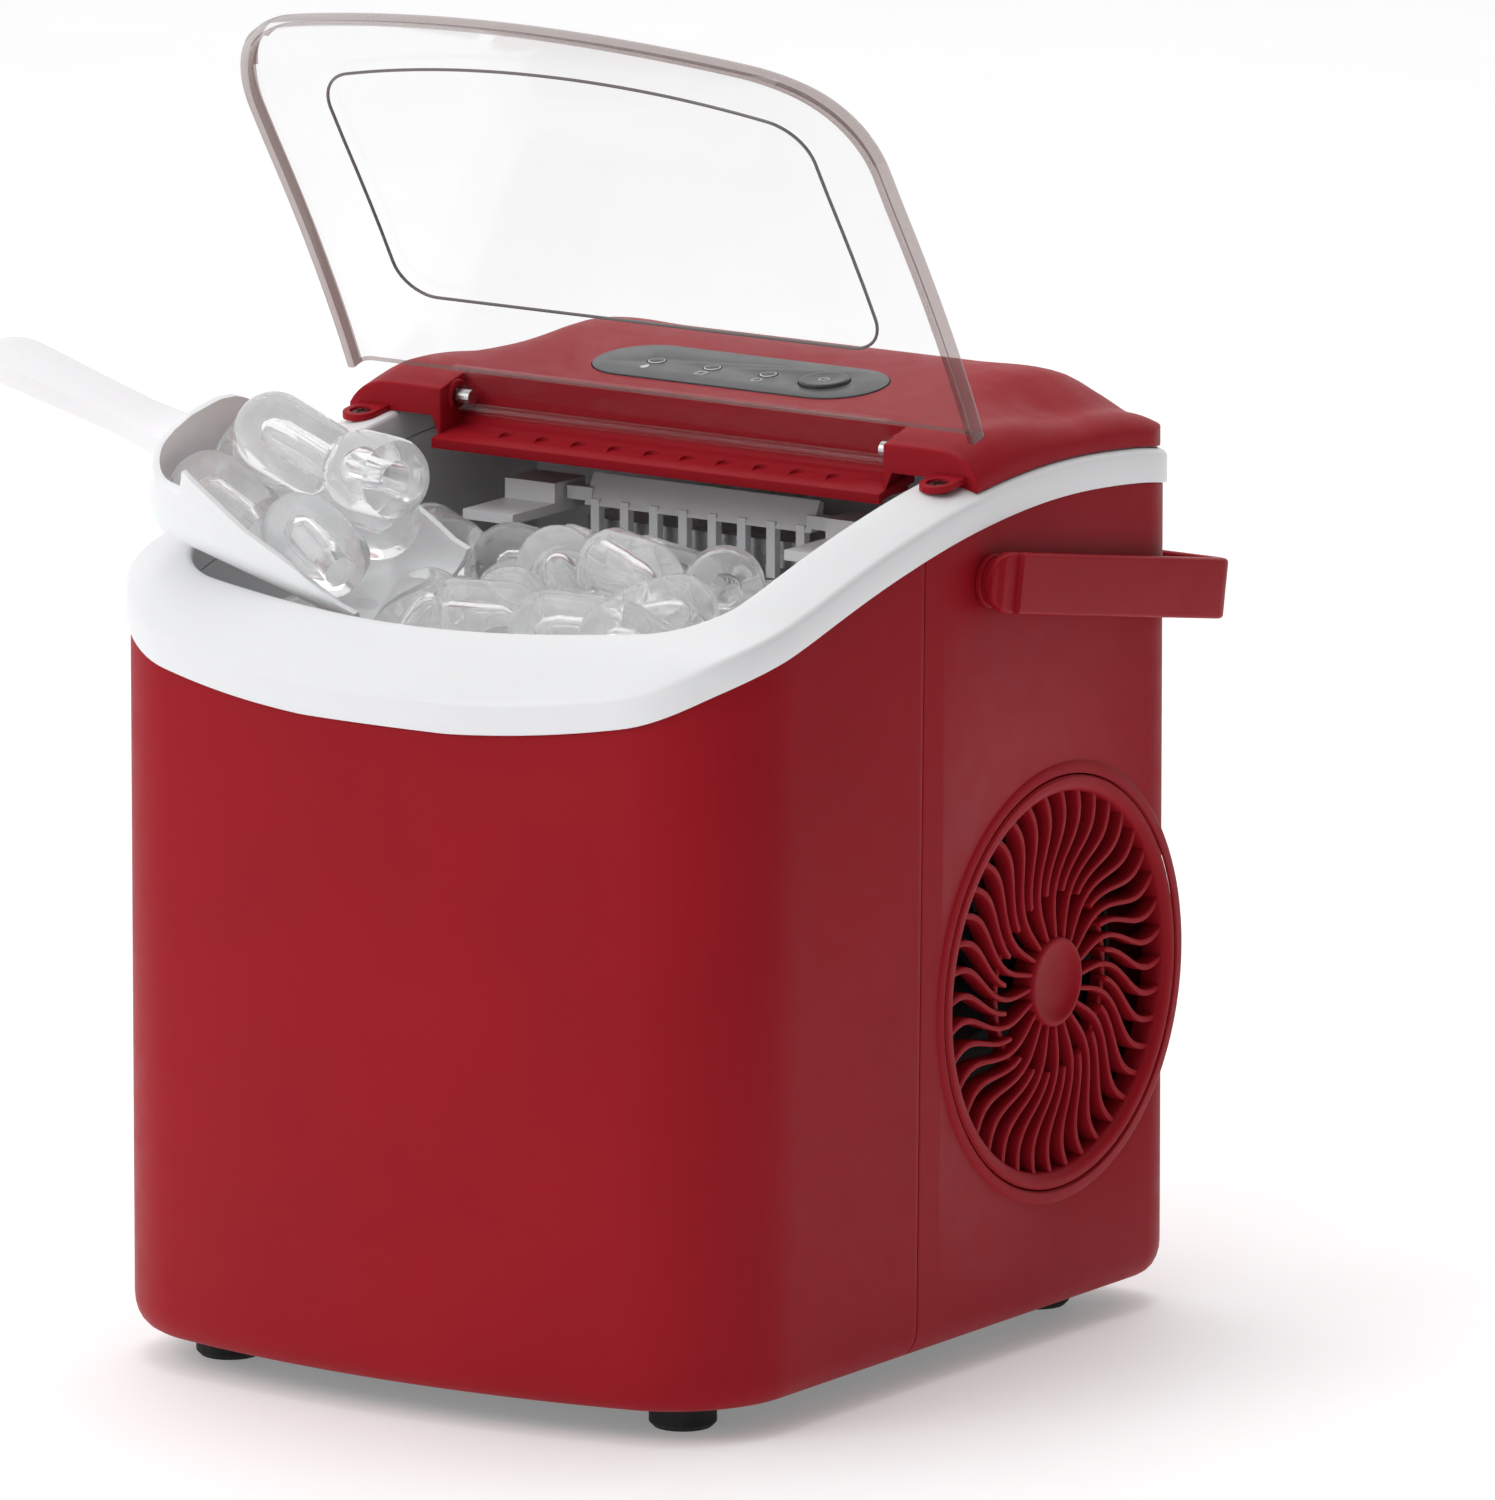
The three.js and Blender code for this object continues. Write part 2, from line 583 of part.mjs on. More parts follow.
// The hollow between the brackets that the lid's back edge swings down into.
function trough() {
  const wall = 2.2;
  const section = [[TROUGH_Y, FLOOR_LOW_Z - 3], [TROUGH_Y, FLOOR_LOW_Z],
    [COVER_Y, FLOOR_HIGH_Z], [COVER_Y, coverTopZ(0, COVER_Y) - 0.2],
    [COVER_Y + wall, coverTopZ(0, COVER_Y) - 0.2], [COVER_Y + wall, FLOOR_HIGH_Z - wall],
    [TROUGH_Y + wall, FLOOR_LOW_Z - wall], [TROUGH_Y + wall, FLOOR_LOW_Z - 3]];
  const channel = prism('x', [...section].reverse(), -BRACKET_X - 1, BRACKET_X + 1);
  const endLow = FLOOR_LOW_Z - 3;
  const ends = [-1, 1].map((side) => {
    const inner = side * BRACKET_X;
    const outer = side * (BRACKET_X + WALL);
    return box(Math.min(inner, outer), Math.max(inner, outer), BRACKET_Y, COVER_Y + wall,
      endLow, FLOOR_HIGH_Z + 2);
  });
  return join([channel, ...ends]);
}

function topCover() {
  const body = join([coverDome(), bracket(-1), bracket(1), trough()]);
  const pocket = panelPlate(PANEL_L + 2 * GAP, PANEL_W + 2 * GAP, PANEL_PROUD - PANEL_T - GAP, 10);
  const buttonHole = onPanel(rod('z', BUTTON_X, 0, BUTTON_R + 2 * GAP, -20, 10));
  const lampHoles = LAMPS_X.map((x) => onPanel(rod('z', x, 0, LAMP_R + GAP, -20, 10, 16)));
  const screws = screwHoles(SCREW_R + GAP, CREST_Z - 20, CREST_Z + 20);
  return cut(body, [pocket, buttonHole, ...lampHoles, ...screws]);
}
add('top_cover', topCover(), RED);

for (const [name, side] of [['cover_screw_left', -1], ['cover_screw_right', 1]]) {
  const seat = edgeZ(EAR_Y) + EAR_RISE + EAR_T + 0.6;
  const screw = join([
    rod('z', side * EAR_X, EAR_Y, SCREW_R, seat - 14, seat + 1, 12),
    rod('z', side * EAR_X, EAR_Y, SCREW_HEAD_R, seat + GAP, seat + 2, 12),
  ]);
  add(name, screw, STEEL);
}

// ---------------------------------------------------------------- control panel
function controlPanel() {
  const plate = panelPlate(PANEL_L, PANEL_W, PANEL_PROUD - PANEL_T, PANEL_PROUD);
  const buttonHole = onPanel(rod('z', BUTTON_X, 0, BUTTON_R + GAP, -20, 10));
  const lampHoles = LAMPS_X.map((x) => onPanel(rod('z', x, 0, LAMP_R + GAP, -20, 10, 16)));
  return cut(plate, [buttonHole, ...lampHoles]);
}
add('control_panel', controlPanel(), DARK);

['lamp_add_water', 'lamp_ice_full', 'lamp_power'].forEach((name, i) => {
  const lens = rod('z', LAMPS_X[i], 0, LAMP_R, -6, PANEL_PROUD + 0.2, 16);
  add(name, onPanel(lens), LAMP);
});

const BUTTON_TRAVEL = 1.2;
const BOARD_DROP = 12; // control board's top face below the panel
add('power_button', onPanel(join([
  rod('z', BUTTON_X, 0, BUTTON_R, -3, PANEL_PROUD + 1),
  rod('z', BUTTON_X, 0, 2, -BOARD_DROP + 4 + BUTTON_TRAVEL + GAP, -2, 12),
])), DARK);
const board = box(-45, 45, -15, 15, -BOARD_DROP - 1.6, -BOARD_DROP);
const tactSwitch = box(BUTTON_X - 3, BUTTON_X + 3, -3, 3, -BOARD_DROP + GAP, -BOARD_DROP + 4);
add('control_board', onPanel(board), GREEN);
add('button_switch', onPanel(tactSwitch), STEEL);

// ---------------------------------------------------------------- lid
const LID_REAR_Y = BRACKET_Y - 1;
const LID_INSET = 1;
const LID_FOOT = RIM_H + RIM_RISE * (LID_INSET + WALL) / RIM_W + 2 * GAP;
const ARM_X = BRACKET_X - 1.2; // outer faces of the lid's hinge arms
const ARM_T = 5;
const TAIL_R = 4.5; // how far the lid's back strip reaches past the hinge axis

// The lid as it lies closed.
function lidClosed() {
  const front = box(-WIDTH, WIDTH, -DEPTH, LID_REAR_Y, 0, SHELL_TOP + 40);
  const ring = column(LID_INSET, 150, SHELL_TOP + 40).intersect(front);
  const sheet = ring.intersect(under(LID_TOP)).subtract(under(LID_TOP - LID_SHEET));
  const skirtRing = ring.subtract(column(LID_INSET + LID_SHEET, 100, SHELL_TOP + 60));
  const skirt = skirtRing.intersect(under(LID_TOP - 1)).subtract(under(LID_FOOT));
  const stripTop = edgeZ(LID_REAR_Y) + LID_TOP;
  const strip = box(-ARM_X, ARM_X, LID_REAR_Y - 2, HINGE_Y + TAIL_R, stripTop - LID_SHEET, stripTop);
  const arms = [-1, 1].map((side) => {
    const a = side * ARM_X;
    const b = side * (ARM_X - ARM_T);
    return join([
      box(Math.min(a, b), Math.max(a, b), LID_REAR_Y - 6, HINGE_Y, HINGE_Z - 3.5, stripTop - 0.5),
      rod('x', HINGE_Y, HINGE_Z, TAIL_R, Math.min(a, b), Math.max(a, b), 20),
    ]);
  });
  const body = join([sheet, skirt, strip, ...arms]);
  const bore = (from, to) => rod('x', HINGE_Y, HINGE_Z, HINGE_PIN_R + 0.1, from, to, 16);
  const near = ARM_X - ARM_T - 1;
  const far = ARM_X + 5;
  const screwPockets = screwHoles(SCREW_HEAD_R + 1.5, CREST_Z, edgeZ(EAR_Y) + LID_TOP - 1);
  return cut(body, [bore(near, far), bore(-far, -near), ...screwPockets]);
}

const lidGroup = new THREE.Group();
lidGroup.position.set(0, HINGE_Y, HINGE_Z);
lidGroup.rotation.x = -LID_OPEN * RAD;
model.add(lidGroup);
const atHinge = [0, -HINGE_Y, -HINGE_Z];
add('lid', lidClosed().translate(atHinge), CLEAR, lidGroup);
for (const [name, side] of [['lid_hinge_pin_left', -1], ['lid_hinge_pin_right', 1]]) {
  const ends = [side * (ARM_X - ARM_T + 0.5), side * (BRACKET_X + 7)].sort((a, b) => a - b);
  const pin = rod('x', HINGE_Y, HINGE_Z, HINGE_PIN_R - 0.1, ends[0], ends[1], 16);
  add(name, pin.translate(atHinge), STEEL, lidGroup);
}

// ---------------------------------------------------------------- carry handle
const ARM_IN = HALF_W + 4.2; // inner face of the handle's strap
const CROSS_Y = HALF_D + RIM_PROUD + 3.6; // inner face of the strap behind the body
const STRAP_LEN = (CROSS_Y + STRAP_T - PIVOT_Y) / Math.cos(STRAP_DROOP * RAD);
const BEND_R = 9;

// The strap lies level about its pivot here; its group tips it down.
function carryHandle() {
  const outerX = ARM_IN + STRAP_T;
  const outer = [];
  arc(outer, outerX - BEND_R, STRAP_LEN - BEND_R, BEND_R, 0, 90, 5);
  arc(outer, -(outerX - BEND_R), STRAP_LEN - BEND_R, BEND_R, 90, 180, 5);
  outer.push(new THREE.Vector2(-outerX, 0), new THREE.Vector2(outerX, 0));
  const inner = [];
  const innerR = BEND_R - STRAP_T;
  arc(inner, ARM_IN - innerR, STRAP_LEN - BEND_R, innerR, 0, 90, 3);
  arc(inner, -(ARM_IN - innerR), STRAP_LEN - BEND_R, innerR, 90, 180, 3);
  inner.push(new THREE.Vector2(-ARM_IN, -30), new THREE.Vector2(ARM_IN, -30));
  const strap = prism('z', outer, -STRAP_H / 2, STRAP_H / 2);
  const eyes = [-1, 1].map((side) => {
    const ends = [side * ARM_IN, side * outerX].sort((a, b) => a - b);
    return rod('x', 0, 0, STRAP_H / 2, ends[0], ends[1], 28);
  });
  const loop = join([strap, ...eyes]).subtract(prism('z', inner, -30, 30));
  const depth = STRAP_T - 1.5;
  const bores = [-1, 1].map((side) => {
    const ends = [side * (ARM_IN - 2), side * (ARM_IN + depth)].sort((a, b) => a - b);
    return rod('x', 0, 0, PIN_R + GAP, ends[0], ends[1], 20);
  });
  return cut(loop, bores);
}

const handleGroup = new THREE.Group();
handleGroup.position.set(0, PIVOT_Y, PIVOT_Z);
handleGroup.rotation.x = -STRAP_DROOP * RAD;
model.add(handleGroup);
add('carry_handle', carryHandle(), RED, handleGroup);
for (const [name, side] of [['handle_pivot_left', -1], ['handle_pivot_right', 1]]) {
  const piece = (r, from, to, sides) => {
    const ends = [side * from, side * to].sort((a, b) => a - b);
    return rod('x', PIVOT_Y, PIVOT_Z, r, ends[0], ends[1], sides);
  };
  const boss = join([
    piece(PIN_R, HALF_W - 8, ARM_IN + STRAP_T - 2, 20),
    piece(8, HALF_W + GAP, ARM_IN - GAP, 24),
  ]);
  add(name, boss, RED);
}

// ---------------------------------------------------------------- fan grille
const HUB_R = 13.5;
const BLADES = 20;
const BLADE_T = 1.6;
const MID_R = 29;

// One S-curved blade of the grille, from the hub out to the ring.
function grilleBlade(angle) {
  const steps = 4;
  const left = [];
  const right = [];
  for (let i = 0; i <= steps; i += 1) {
    const t = i / steps;
    const r = HUB_R - 1 + (GRILLE_R + 1.5 - HUB_R) * t;
    const a = angle + 0.16 * Math.sin(2 * Math.PI * t) - 0.3 * t;
    const across = BLADE_T / 2 / r;
    left.push([GRILLE_Y + r * Math.cos(a + across), GRILLE_Z + r * Math.sin(a + across)]);
    right.push([GRILLE_Y + r * Math.cos(a - across), GRILLE_Z + r * Math.sin(a - across)]);
  }
  return prism('x', [...right, ...left.reverse()], HALF_W - 7, HALF_W - 1);
}

function sideGrille() {
  const disc = (r, from, to, sides) => rod('x', GRILLE_Y, GRILLE_Z, r, from, to, sides);
  const ringBand = (outer, inner, from, to, sides) => disc(outer, from, to, sides)
    .subtract(disc(inner, from - 1, to + 1, sides));
  const pieces = [
    ringBand(GRILLE_R + GRILLE_RING, GRILLE_R, HALF_W - 8, HALF_W + 0.8, 40),
    ringBand(MID_R + 1, MID_R - 1, HALF_W - 7.5, HALF_W - 3.5, 24),
    rod('x', GRILLE_Y, GRILLE_Z, HUB_R, HALF_W - 8, HALF_W - 0.5, 24),
  ];
  for (let i = 0; i < BLADES; i += 1) pieces.push(grilleBlade(2 * Math.PI * i / BLADES));
  const dish = rod('x', GRILLE_Y, GRILLE_Z, HUB_R - 3, HALF_W - 2, HALF_W + 2, 24);
  return join(pieces).subtract(dish);
}
add('side_grille', sideGrille(), RED);

// ---------------------------------------------------------------- fan, shroud and condenser
const FAN_X = HALF_W - 22; // middle of the fan
const FAN_R = 45;
const FAN_BLADES = 7;
const FAN_HUB_R = 14;

function fanBlade(angle) {
  const blade = new THREE.BoxGeometry(2, 22, FAN_R - FAN_HUB_R + 4);
  blade.rotateZ(35 * RAD).translate(0, 0, (FAN_R + FAN_HUB_R - 4) / 2);
  return solid(blade.rotateX(angle));
}

function fanWheel() {
  const blades = [];
  for (let i = 0; i < FAN_BLADES; i += 1) blades.push(fanBlade(2 * Math.PI * i / FAN_BLADES));
  const limit = rod('x', 0, 0, FAN_R, -7, 7, 40);
  const wheel = join(blades).intersect(limit).add(rod('x', 0, 0, FAN_HUB_R, -8, 8, 24));
  return wheel.translate(FAN_X, GRILLE_Y, GRILLE_Z);
}
add('fan', fanWheel(), DARK);

const SHROUD_HALF = 49;
function fanShroud() {
  const plate = box(FAN_X - 14, FAN_X - 11, GRILLE_Y - SHROUD_HALF, GRILLE_Y + SHROUD_HALF,
    GRILLE_Z - SHROUD_HALF, GRILLE_Z + SHROUD_HALF);
  const collar = rod('x', GRILLE_Y, GRILLE_Z, FAN_R + 3.5, FAN_X - 12, FAN_X + 8, 40);
  const bore = rod('x', GRILLE_Y, GRILLE_Z, FAN_R + 1.5, FAN_X - 20, FAN_X + 12, 40);
  const strutHalf = FAN_R + 3;
  const struts = [[strutHalf, 3], [3, strutHalf]].map(([y, z]) => box(FAN_X - 14, FAN_X - 11,
    GRILLE_Y - y, GRILLE_Y + y, GRILLE_Z - z, GRILLE_Z + z));
  const frame = join([plate, collar]).subtract(bore);
  return join([frame, ...struts, rod('x', GRILLE_Y, GRILLE_Z, 12, FAN_X - 14, FAN_X - 11, 24)]);
}
add('fan_shroud', fanShroud(), BLACK);
add('fan_motor', rod('x', GRILLE_Y, GRILLE_Z, 15, FAN_X - 24, FAN_X - 14 - GAP, 24), STEEL);

function condenser() {
  const x1 = FAN_X - 26;
  const x0 = x1 - 24;
  const points = [[GRILLE_Z - 46, x0]];
  const fins = 13;
  const pitch = 92 / fins;
  for (let i = 0; i < fins; i += 1) {
    const z = GRILLE_Z - 46 + pitch * i;
    points.push([z, x1], [z + pitch * 0.55, x1], [z + pitch * 0.55, x0 + 8], [z + pitch, x0 + 8]);
  }
  points.push([GRILLE_Z + 46, x0]);
  return prism('y', points, GRILLE_Y - 44, GRILLE_Y + 44);
}
add('condenser', condenser(), STEEL);

// ---------------------------------------------------------------- compressor
const COMP_X = -48;
const COMP_Y = HALF_D - 59;
const COMP_R = 40;
const COMP_TOP = 136;

function compressor() {
  const can = turned([[0, 16], [COMP_R - 6, 16], [COMP_R, 24], [COMP_R, 78], [COMP_R + 1.5, 80],
    [COMP_R, 82], [COMP_R, COMP_TOP - 22], [COMP_R - 10, COMP_TOP - 6], [0, COMP_TOP]], 28);
  const plate = prism('z', roundedRect(-44, 44, -44, 44, 12), 13, 17);
  return join([can, plate]).translate(COMP_X, COMP_Y, 0);
}
add('compressor', compressor(), BLACK);
[[-34, -34], [34, -34], [0, 36]].forEach(([dx, dy], i) => {
  const grommet = rod('z', COMP_X + dx, COMP_Y + dy, 6, 3 + GAP, 13 - GAP, 16);
  add(`compressor_grommet_${i + 1}`, grommet, GREY);
});

const pipeEnd = TRAY_AXIS_Y - 3;
add('suction_pipe', tube([[PIPE_X, pipeEnd, PIPE_Z], [PIPE_X, TUB_REAR_Y + 1, PIPE_Z],
  [PIPE_X, TUB_REAR_Y + 8, PIPE_Z - 5], [PIPE_X - 2, TUB_REAR_Y + 11, PIPE_Z - 18],
  [COMP_X + 16, TUB_REAR_Y + 10, PIPE_Z - 55], [COMP_X + 10, TUB_REAR_Y + 2, COMP_TOP + 10],
  [COMP_X + 6, COMP_Y + 10, COMP_TOP + 4]], PIPE_R, 18), COPPER);
add('discharge_pipe', tube([[COMP_X + COMP_R + 1.5, COMP_Y - 8, 60], [0, COMP_Y - 8, 60],
  [10, COMP_Y - 14, 66], [FAN_X - 50 - PIPE_R, GRILLE_Y - 20, 66]], 2.5, 12), COPPER);

// ---------------------------------------------------------------- ice-making parts
const FINGER_R = 4.5;
const FINGER_LOW_Z = 189.5;
const PLATE_LOW_Z = 218;
const PLATE_TOP_Z = 226;

function evaporator() {
  const plate = prism('z', roundedRect(-46, 46, TRAY_AXIS_Y - 33, TRAY_AXIS_Y - 5, 6),
    PLATE_LOW_Z, PLATE_TOP_Z);
  const fingers = [];
  for (const [count, y] of [[5, TRAY_AXIS_Y - 25], [4, TRAY_AXIS_Y - 13]]) {
    for (let i = 0; i < count; i += 1) {
      const x = (i - (count - 1) / 2) * 19;
      fingers.push(rod('z', x, y, FINGER_R, FINGER_LOW_Z, PLATE_LOW_Z + 1, 12));
    }
  }
  return join([plate, ...fingers]);
}
add('evaporator', evaporator(), STEEL);

function waterTray() {
  const end = 54;
  const section = [[TRAY_AXIS_Y - 38, TRAY_AXIS_Z - 3], [TRAY_AXIS_Y - 38, TRAY_AXIS_Z - 24],
    [TRAY_AXIS_Y - 30, TRAY_AXIS_Z - 31], [TRAY_AXIS_Y - 8, TRAY_AXIS_Z - 31],
    [TRAY_AXIS_Y + 1, TRAY_AXIS_Z - 22], [TRAY_AXIS_Y + 1, TRAY_AXIS_Z - 6]];
  const inner = [[TRAY_AXIS_Y - 36, TRAY_AXIS_Z + 9], [TRAY_AXIS_Y - 36, TRAY_AXIS_Z - 23],
    [TRAY_AXIS_Y - 29, TRAY_AXIS_Z - 29], [TRAY_AXIS_Y - 9, TRAY_AXIS_Z - 29],
    [TRAY_AXIS_Y - 1, TRAY_AXIS_Z - 21], [TRAY_AXIS_Y - 1, TRAY_AXIS_Z + 9]];
  const lugs = [-1, 1].map((side) => {
    const ends = [side * (end - 2), side * end].sort((a, b) => a - b);
    return join([rod('x', TRAY_AXIS_Y, TRAY_AXIS_Z, 5, ends[0], ends[1], 16),
      box(ends[0], ends[1], TRAY_AXIS_Y - 5, TRAY_AXIS_Y + 1, TRAY_AXIS_Z - 20, TRAY_AXIS_Z)]);
  });
  const body = prism('x', section, -end, end).subtract(prism('x', inner, -end + 2, end - 2));
  return join([body, ...lugs]).subtract(rod('x', TRAY_AXIS_Y, TRAY_AXIS_Z, 3 + GAP, -60, 60, 16));
}
add('water_tray', waterTray(), GREY);
add('tray_shaft', rod('x', TRAY_AXIS_Y, TRAY_AXIS_Z, 3, -60, 59, 16), STEEL);
const motorBody = join([
  box(62, 88, TRAY_AXIS_Y - 24, TRAY_AXIS_Y - 8, TRAY_AXIS_Z - 12, TRAY_AXIS_Z + 12),
  box(62, 84, TRAY_AXIS_Y - 10, TRAY_AXIS_Y + 4, TRAY_AXIS_Z - 8, TRAY_AXIS_Z + 8),
]);
add('tray_motor', motorBody, BLACK);

const SHOVEL_Y = 36;
const SHOVEL_Z = 231;
const SHOVEL_HALF = 40.5;
function iceShovel() {
  const bar = prism('x', [[SHOVEL_Y, SHOVEL_Z], [SHOVEL_Y + 6, SHOVEL_Z],
    [SHOVEL_Y + 7, SHOVEL_Z + 8], [SHOVEL_Y + 5, SHOVEL_Z + 9]], -SHOVEL_HALF, SHOVEL_HALF);
  const tines = [];
  for (let i = 0; i < 8; i += 1) {
    const x = (i - 3.5) * 10.5;
    tines.push(box(x - 1.5, x + 1.5, SHOVEL_Y, SHOVEL_Y + 3, SHOVEL_Z - 15, SHOVEL_Z + 2));
  }
  const runners = [-1, 1].map((side) => {
    const ends = [side * (SHOVEL_HALF - 2), side * (SHOVEL_HALF + 7)].sort((a, b) => a - b);
    return box(ends[0], ends[1], SHOVEL_Y + 1, SHOVEL_Y + 5, SHOVEL_Z + 1, SHOVEL_Z + 5);
  });
  return join([bar, ...tines, ...runners]);
}
add('ice_shovel', iceShovel(), WHITE);

for (const [name, side] of [['shovel_guide_left', -1], ['shovel_guide_right', 1]]) {
  const ends = (a, b) => [side * a, side * b].sort((p, q) => p - q);
  const [a0, a1] = ends(SHOVEL_HALF + 8, SHOVEL_HALF + 26);
  const guide = join([
    box(a0, a1, SHOVEL_Y - 4, SHOVEL_Y + 12, SHOVEL_Z - 3, SHOVEL_Z + 6),
    box(a0, a1, SHOVEL_Y - 26, SHOVEL_Y + 2, SHOVEL_Z - 3, SHOVEL_Z),
  ]);
  add(name, guide, WHITE);
}

function iceChute() {
  const plate = prism('x', [[10, 200], [34, 209], [34, 211.5], [10, 202.5]], -60, 60);
  const holes = [];
  for (let i = 0; i < 7; i += 1) holes.push(rod('z', (i - 3) * 16, 22, 2.5, 195, 220, 10));
  return cut(plate, holes);
}
add('ice_chute', iceChute(), GREY);

// ---------------------------------------------------------------- water pump and hose
const PUMP_X = 72;
const PUMP_Y = TUB_STEP_Y - 22;
const HOSE_Y = TUB_STEP_Y - 8.5; // where the hose climbs in front of the tub's step
const pumpFloor = TUB_FLOOR_Z + WALL + GAP;
add('water_pump', join([
  prism('z', roundedRect(PUMP_X - 18, PUMP_X + 14, PUMP_Y - 20, PUMP_Y + 14, 4),
    pumpFloor, pumpFloor + 34),
  rod('z', PUMP_X, PUMP_Y + 8, 3, pumpFloor + 33, pumpFloor + 40, 12),
]), BLACK);
add('water_hose', tube([[PUMP_X, PUMP_Y + 8, pumpFloor + 41], [PUMP_X, HOSE_Y, 110],
  [PUMP_X + 2, HOSE_Y, 190], [PUMP_X + 1, HOSE_Y + 12.5, 214],
  [PUMP_X - 10, TRAY_AXIS_Y - 41, 219],
  [PUMP_X - 20, TRAY_AXIS_Y - 28, 212]], 3.2, 20), CLEAR);

// ---------------------------------------------------------------- power lead gland
add('cord_gland', rod('y', GLAND_Z, GLAND_X, GLAND_R, HALF_D - 6, HALF_D + 0.3, 16)
  .add(rod('y', GLAND_Z, GLAND_X, 5.5, HALF_D, HALF_D + 7, 16)), BLACK);

// ---------------------------------------------------------------- scoop
const SCOOP_L = 82; // bowl, back wall to mouth
const SCOOP_W = 58;
const SCOOP_H = 26;
const SCOOP_T = 2;
const SCOOP_HANDLE = 74;

const SCOOP_CORNER_R = 13; // the bowl's rounded bottom corners
const SCOOP_GRIP_W = 19;
const SCOOP_IN = 10 + (RIM_W - 18.5) * 1.4; // its back wall's foot, in from the left face
const SCOOP_BACK = 53; // back from the front face
const SCOOP_DROP = 3; // and below the shells' crest
const SCOOP_ROLL = 12; // degrees it rolls towards the bin
const SCOOP_DIP = 16; // degrees its mouth dips into the bin

// The scoop about the foot of its back wall: +X towards the mouth, +Z up.
function scoop() {
  const half = SCOOP_W / 2;
  const over = SCOOP_H * 2; // the walls start taller and are trimmed to their slope
  const trough = (inset, x0, x1) => {
    const points = [];
    const r = SCOOP_CORNER_R - inset;
    arc(points, half - SCOOP_CORNER_R, SCOOP_CORNER_R, r, -90, 0, 4);
    points.push(new THREE.Vector2(half - inset, over));
    points.push(new THREE.Vector2(-(half - inset), over));
    arc(points, -(half - SCOOP_CORNER_R), SCOOP_CORNER_R, r, 180, 270, 4);
    return prism('x', points, x0, x1);
  };
  const outer = trough(0, 0, SCOOP_L);
  const inner = trough(SCOOP_T, SCOOP_T, SCOOP_L + 5);
  const slope = [[SCOOP_H + 8, -5], [SCOOP_H + 4, 14], [9, SCOOP_L + 2], [over + 5, SCOOP_L + 2],
    [over + 5, -5]];
  const bowl = outer.subtract(inner).subtract(prism('y', slope, -half - 5, half + 5));
  const grip = prism('z', stadium(SCOOP_HANDLE + 10, SCOOP_GRIP_W, 5), -4, 4)
    .translate(-SCOOP_HANDLE / 2 + 3, 0, SCOOP_H - 6);
  return bowl.add(grip.subtract(inner));
}

const scoopGroup = new THREE.Group();
scoopGroup.position.set(-HALF_W + SCOOP_IN, -HALF_D + SCOOP_BACK, CREST_Z - SCOOP_DROP);
scoopGroup.rotation.set(SCOOP_ROLL * RAD, SCOOP_DIP * RAD, 0, 'ZYX');
model.add(scoopGroup);
add('scoop', scoop(), WHITE, scoopGroup);

export default model;
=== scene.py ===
"""A compact countertop ice maker: red shells, white rim and bin, clear hinged lid, scoop and ice.

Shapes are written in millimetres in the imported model's frame and turned into metres when a mesh
is made. +X is the fan grille's side, -Y is the front and +Z is up.
"""
import json
import math
import random
import bmesh
import bpy
import numpy
from mathutils import Euler, Matrix, Vector


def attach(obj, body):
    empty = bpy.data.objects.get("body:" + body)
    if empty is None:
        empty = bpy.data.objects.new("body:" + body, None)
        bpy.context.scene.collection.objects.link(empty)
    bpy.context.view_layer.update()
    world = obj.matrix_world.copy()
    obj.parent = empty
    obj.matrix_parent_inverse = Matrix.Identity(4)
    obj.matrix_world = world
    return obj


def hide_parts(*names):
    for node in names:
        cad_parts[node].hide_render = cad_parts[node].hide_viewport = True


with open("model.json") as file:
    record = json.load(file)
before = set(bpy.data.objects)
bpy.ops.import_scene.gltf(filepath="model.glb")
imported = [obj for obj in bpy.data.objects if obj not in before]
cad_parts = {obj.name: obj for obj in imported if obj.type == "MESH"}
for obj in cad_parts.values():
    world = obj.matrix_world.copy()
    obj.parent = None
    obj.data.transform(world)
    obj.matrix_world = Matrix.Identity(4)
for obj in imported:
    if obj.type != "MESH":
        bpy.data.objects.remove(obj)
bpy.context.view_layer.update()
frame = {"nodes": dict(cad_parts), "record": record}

MM = 0.001

# ---------------------------------------------------------------- sizes shared with the solids
WIDTH = 226.0
DEPTH = 262.0
CREST_Z = 246.0
FRONT_CORNER_R = 42.0
REAR_CORNER_R = 22.0
FRONT_BULGE = 7.0
WALL = 2.5
GAP = 0.35
SEAM_Y = -14.0
RIM_H = 10.0
RIM_W = 18.5
RIM_RISE = 3.4
RIM_PROUD = 1.3
BRACKET_Y = 16.5
BRACKET_X = 79.0
COVER_Y = 30.5
HINGE_Y = 25.0
HINGE_Z = CREST_Z + 15.5
LID_OPEN = 72.0
LID_TOP = 19.5
LID_SHEET = 2.5
LID_REAR_Y = BRACKET_Y - 1
LID_INSET = 1.0
ARM_X = BRACKET_X - 1.2
PIVOT_Y = 22.0
PIVOT_Z = CREST_Z - 19
STRAP_H = 18.0
STRAP_T = 5.5
STRAP_DROOP = 10.0
GRILLE_Y = 60.4
GRILLE_Z = 99.7
GRILLE_R = 57.0
GRILLE_RING = 5.0
PANEL_L = 100.0
PANEL_W = 32.0
PANEL_Y = 59.0
PANEL_TILT = 6.18
PANEL_PROUD = 0.4
LAMP_PITCH = 20.0
EAR_X = 103.0
EAR_Y = 9.5
EAR_R = 5.5
HALF_W = WIDTH / 2
HALF_D = DEPTH / 2

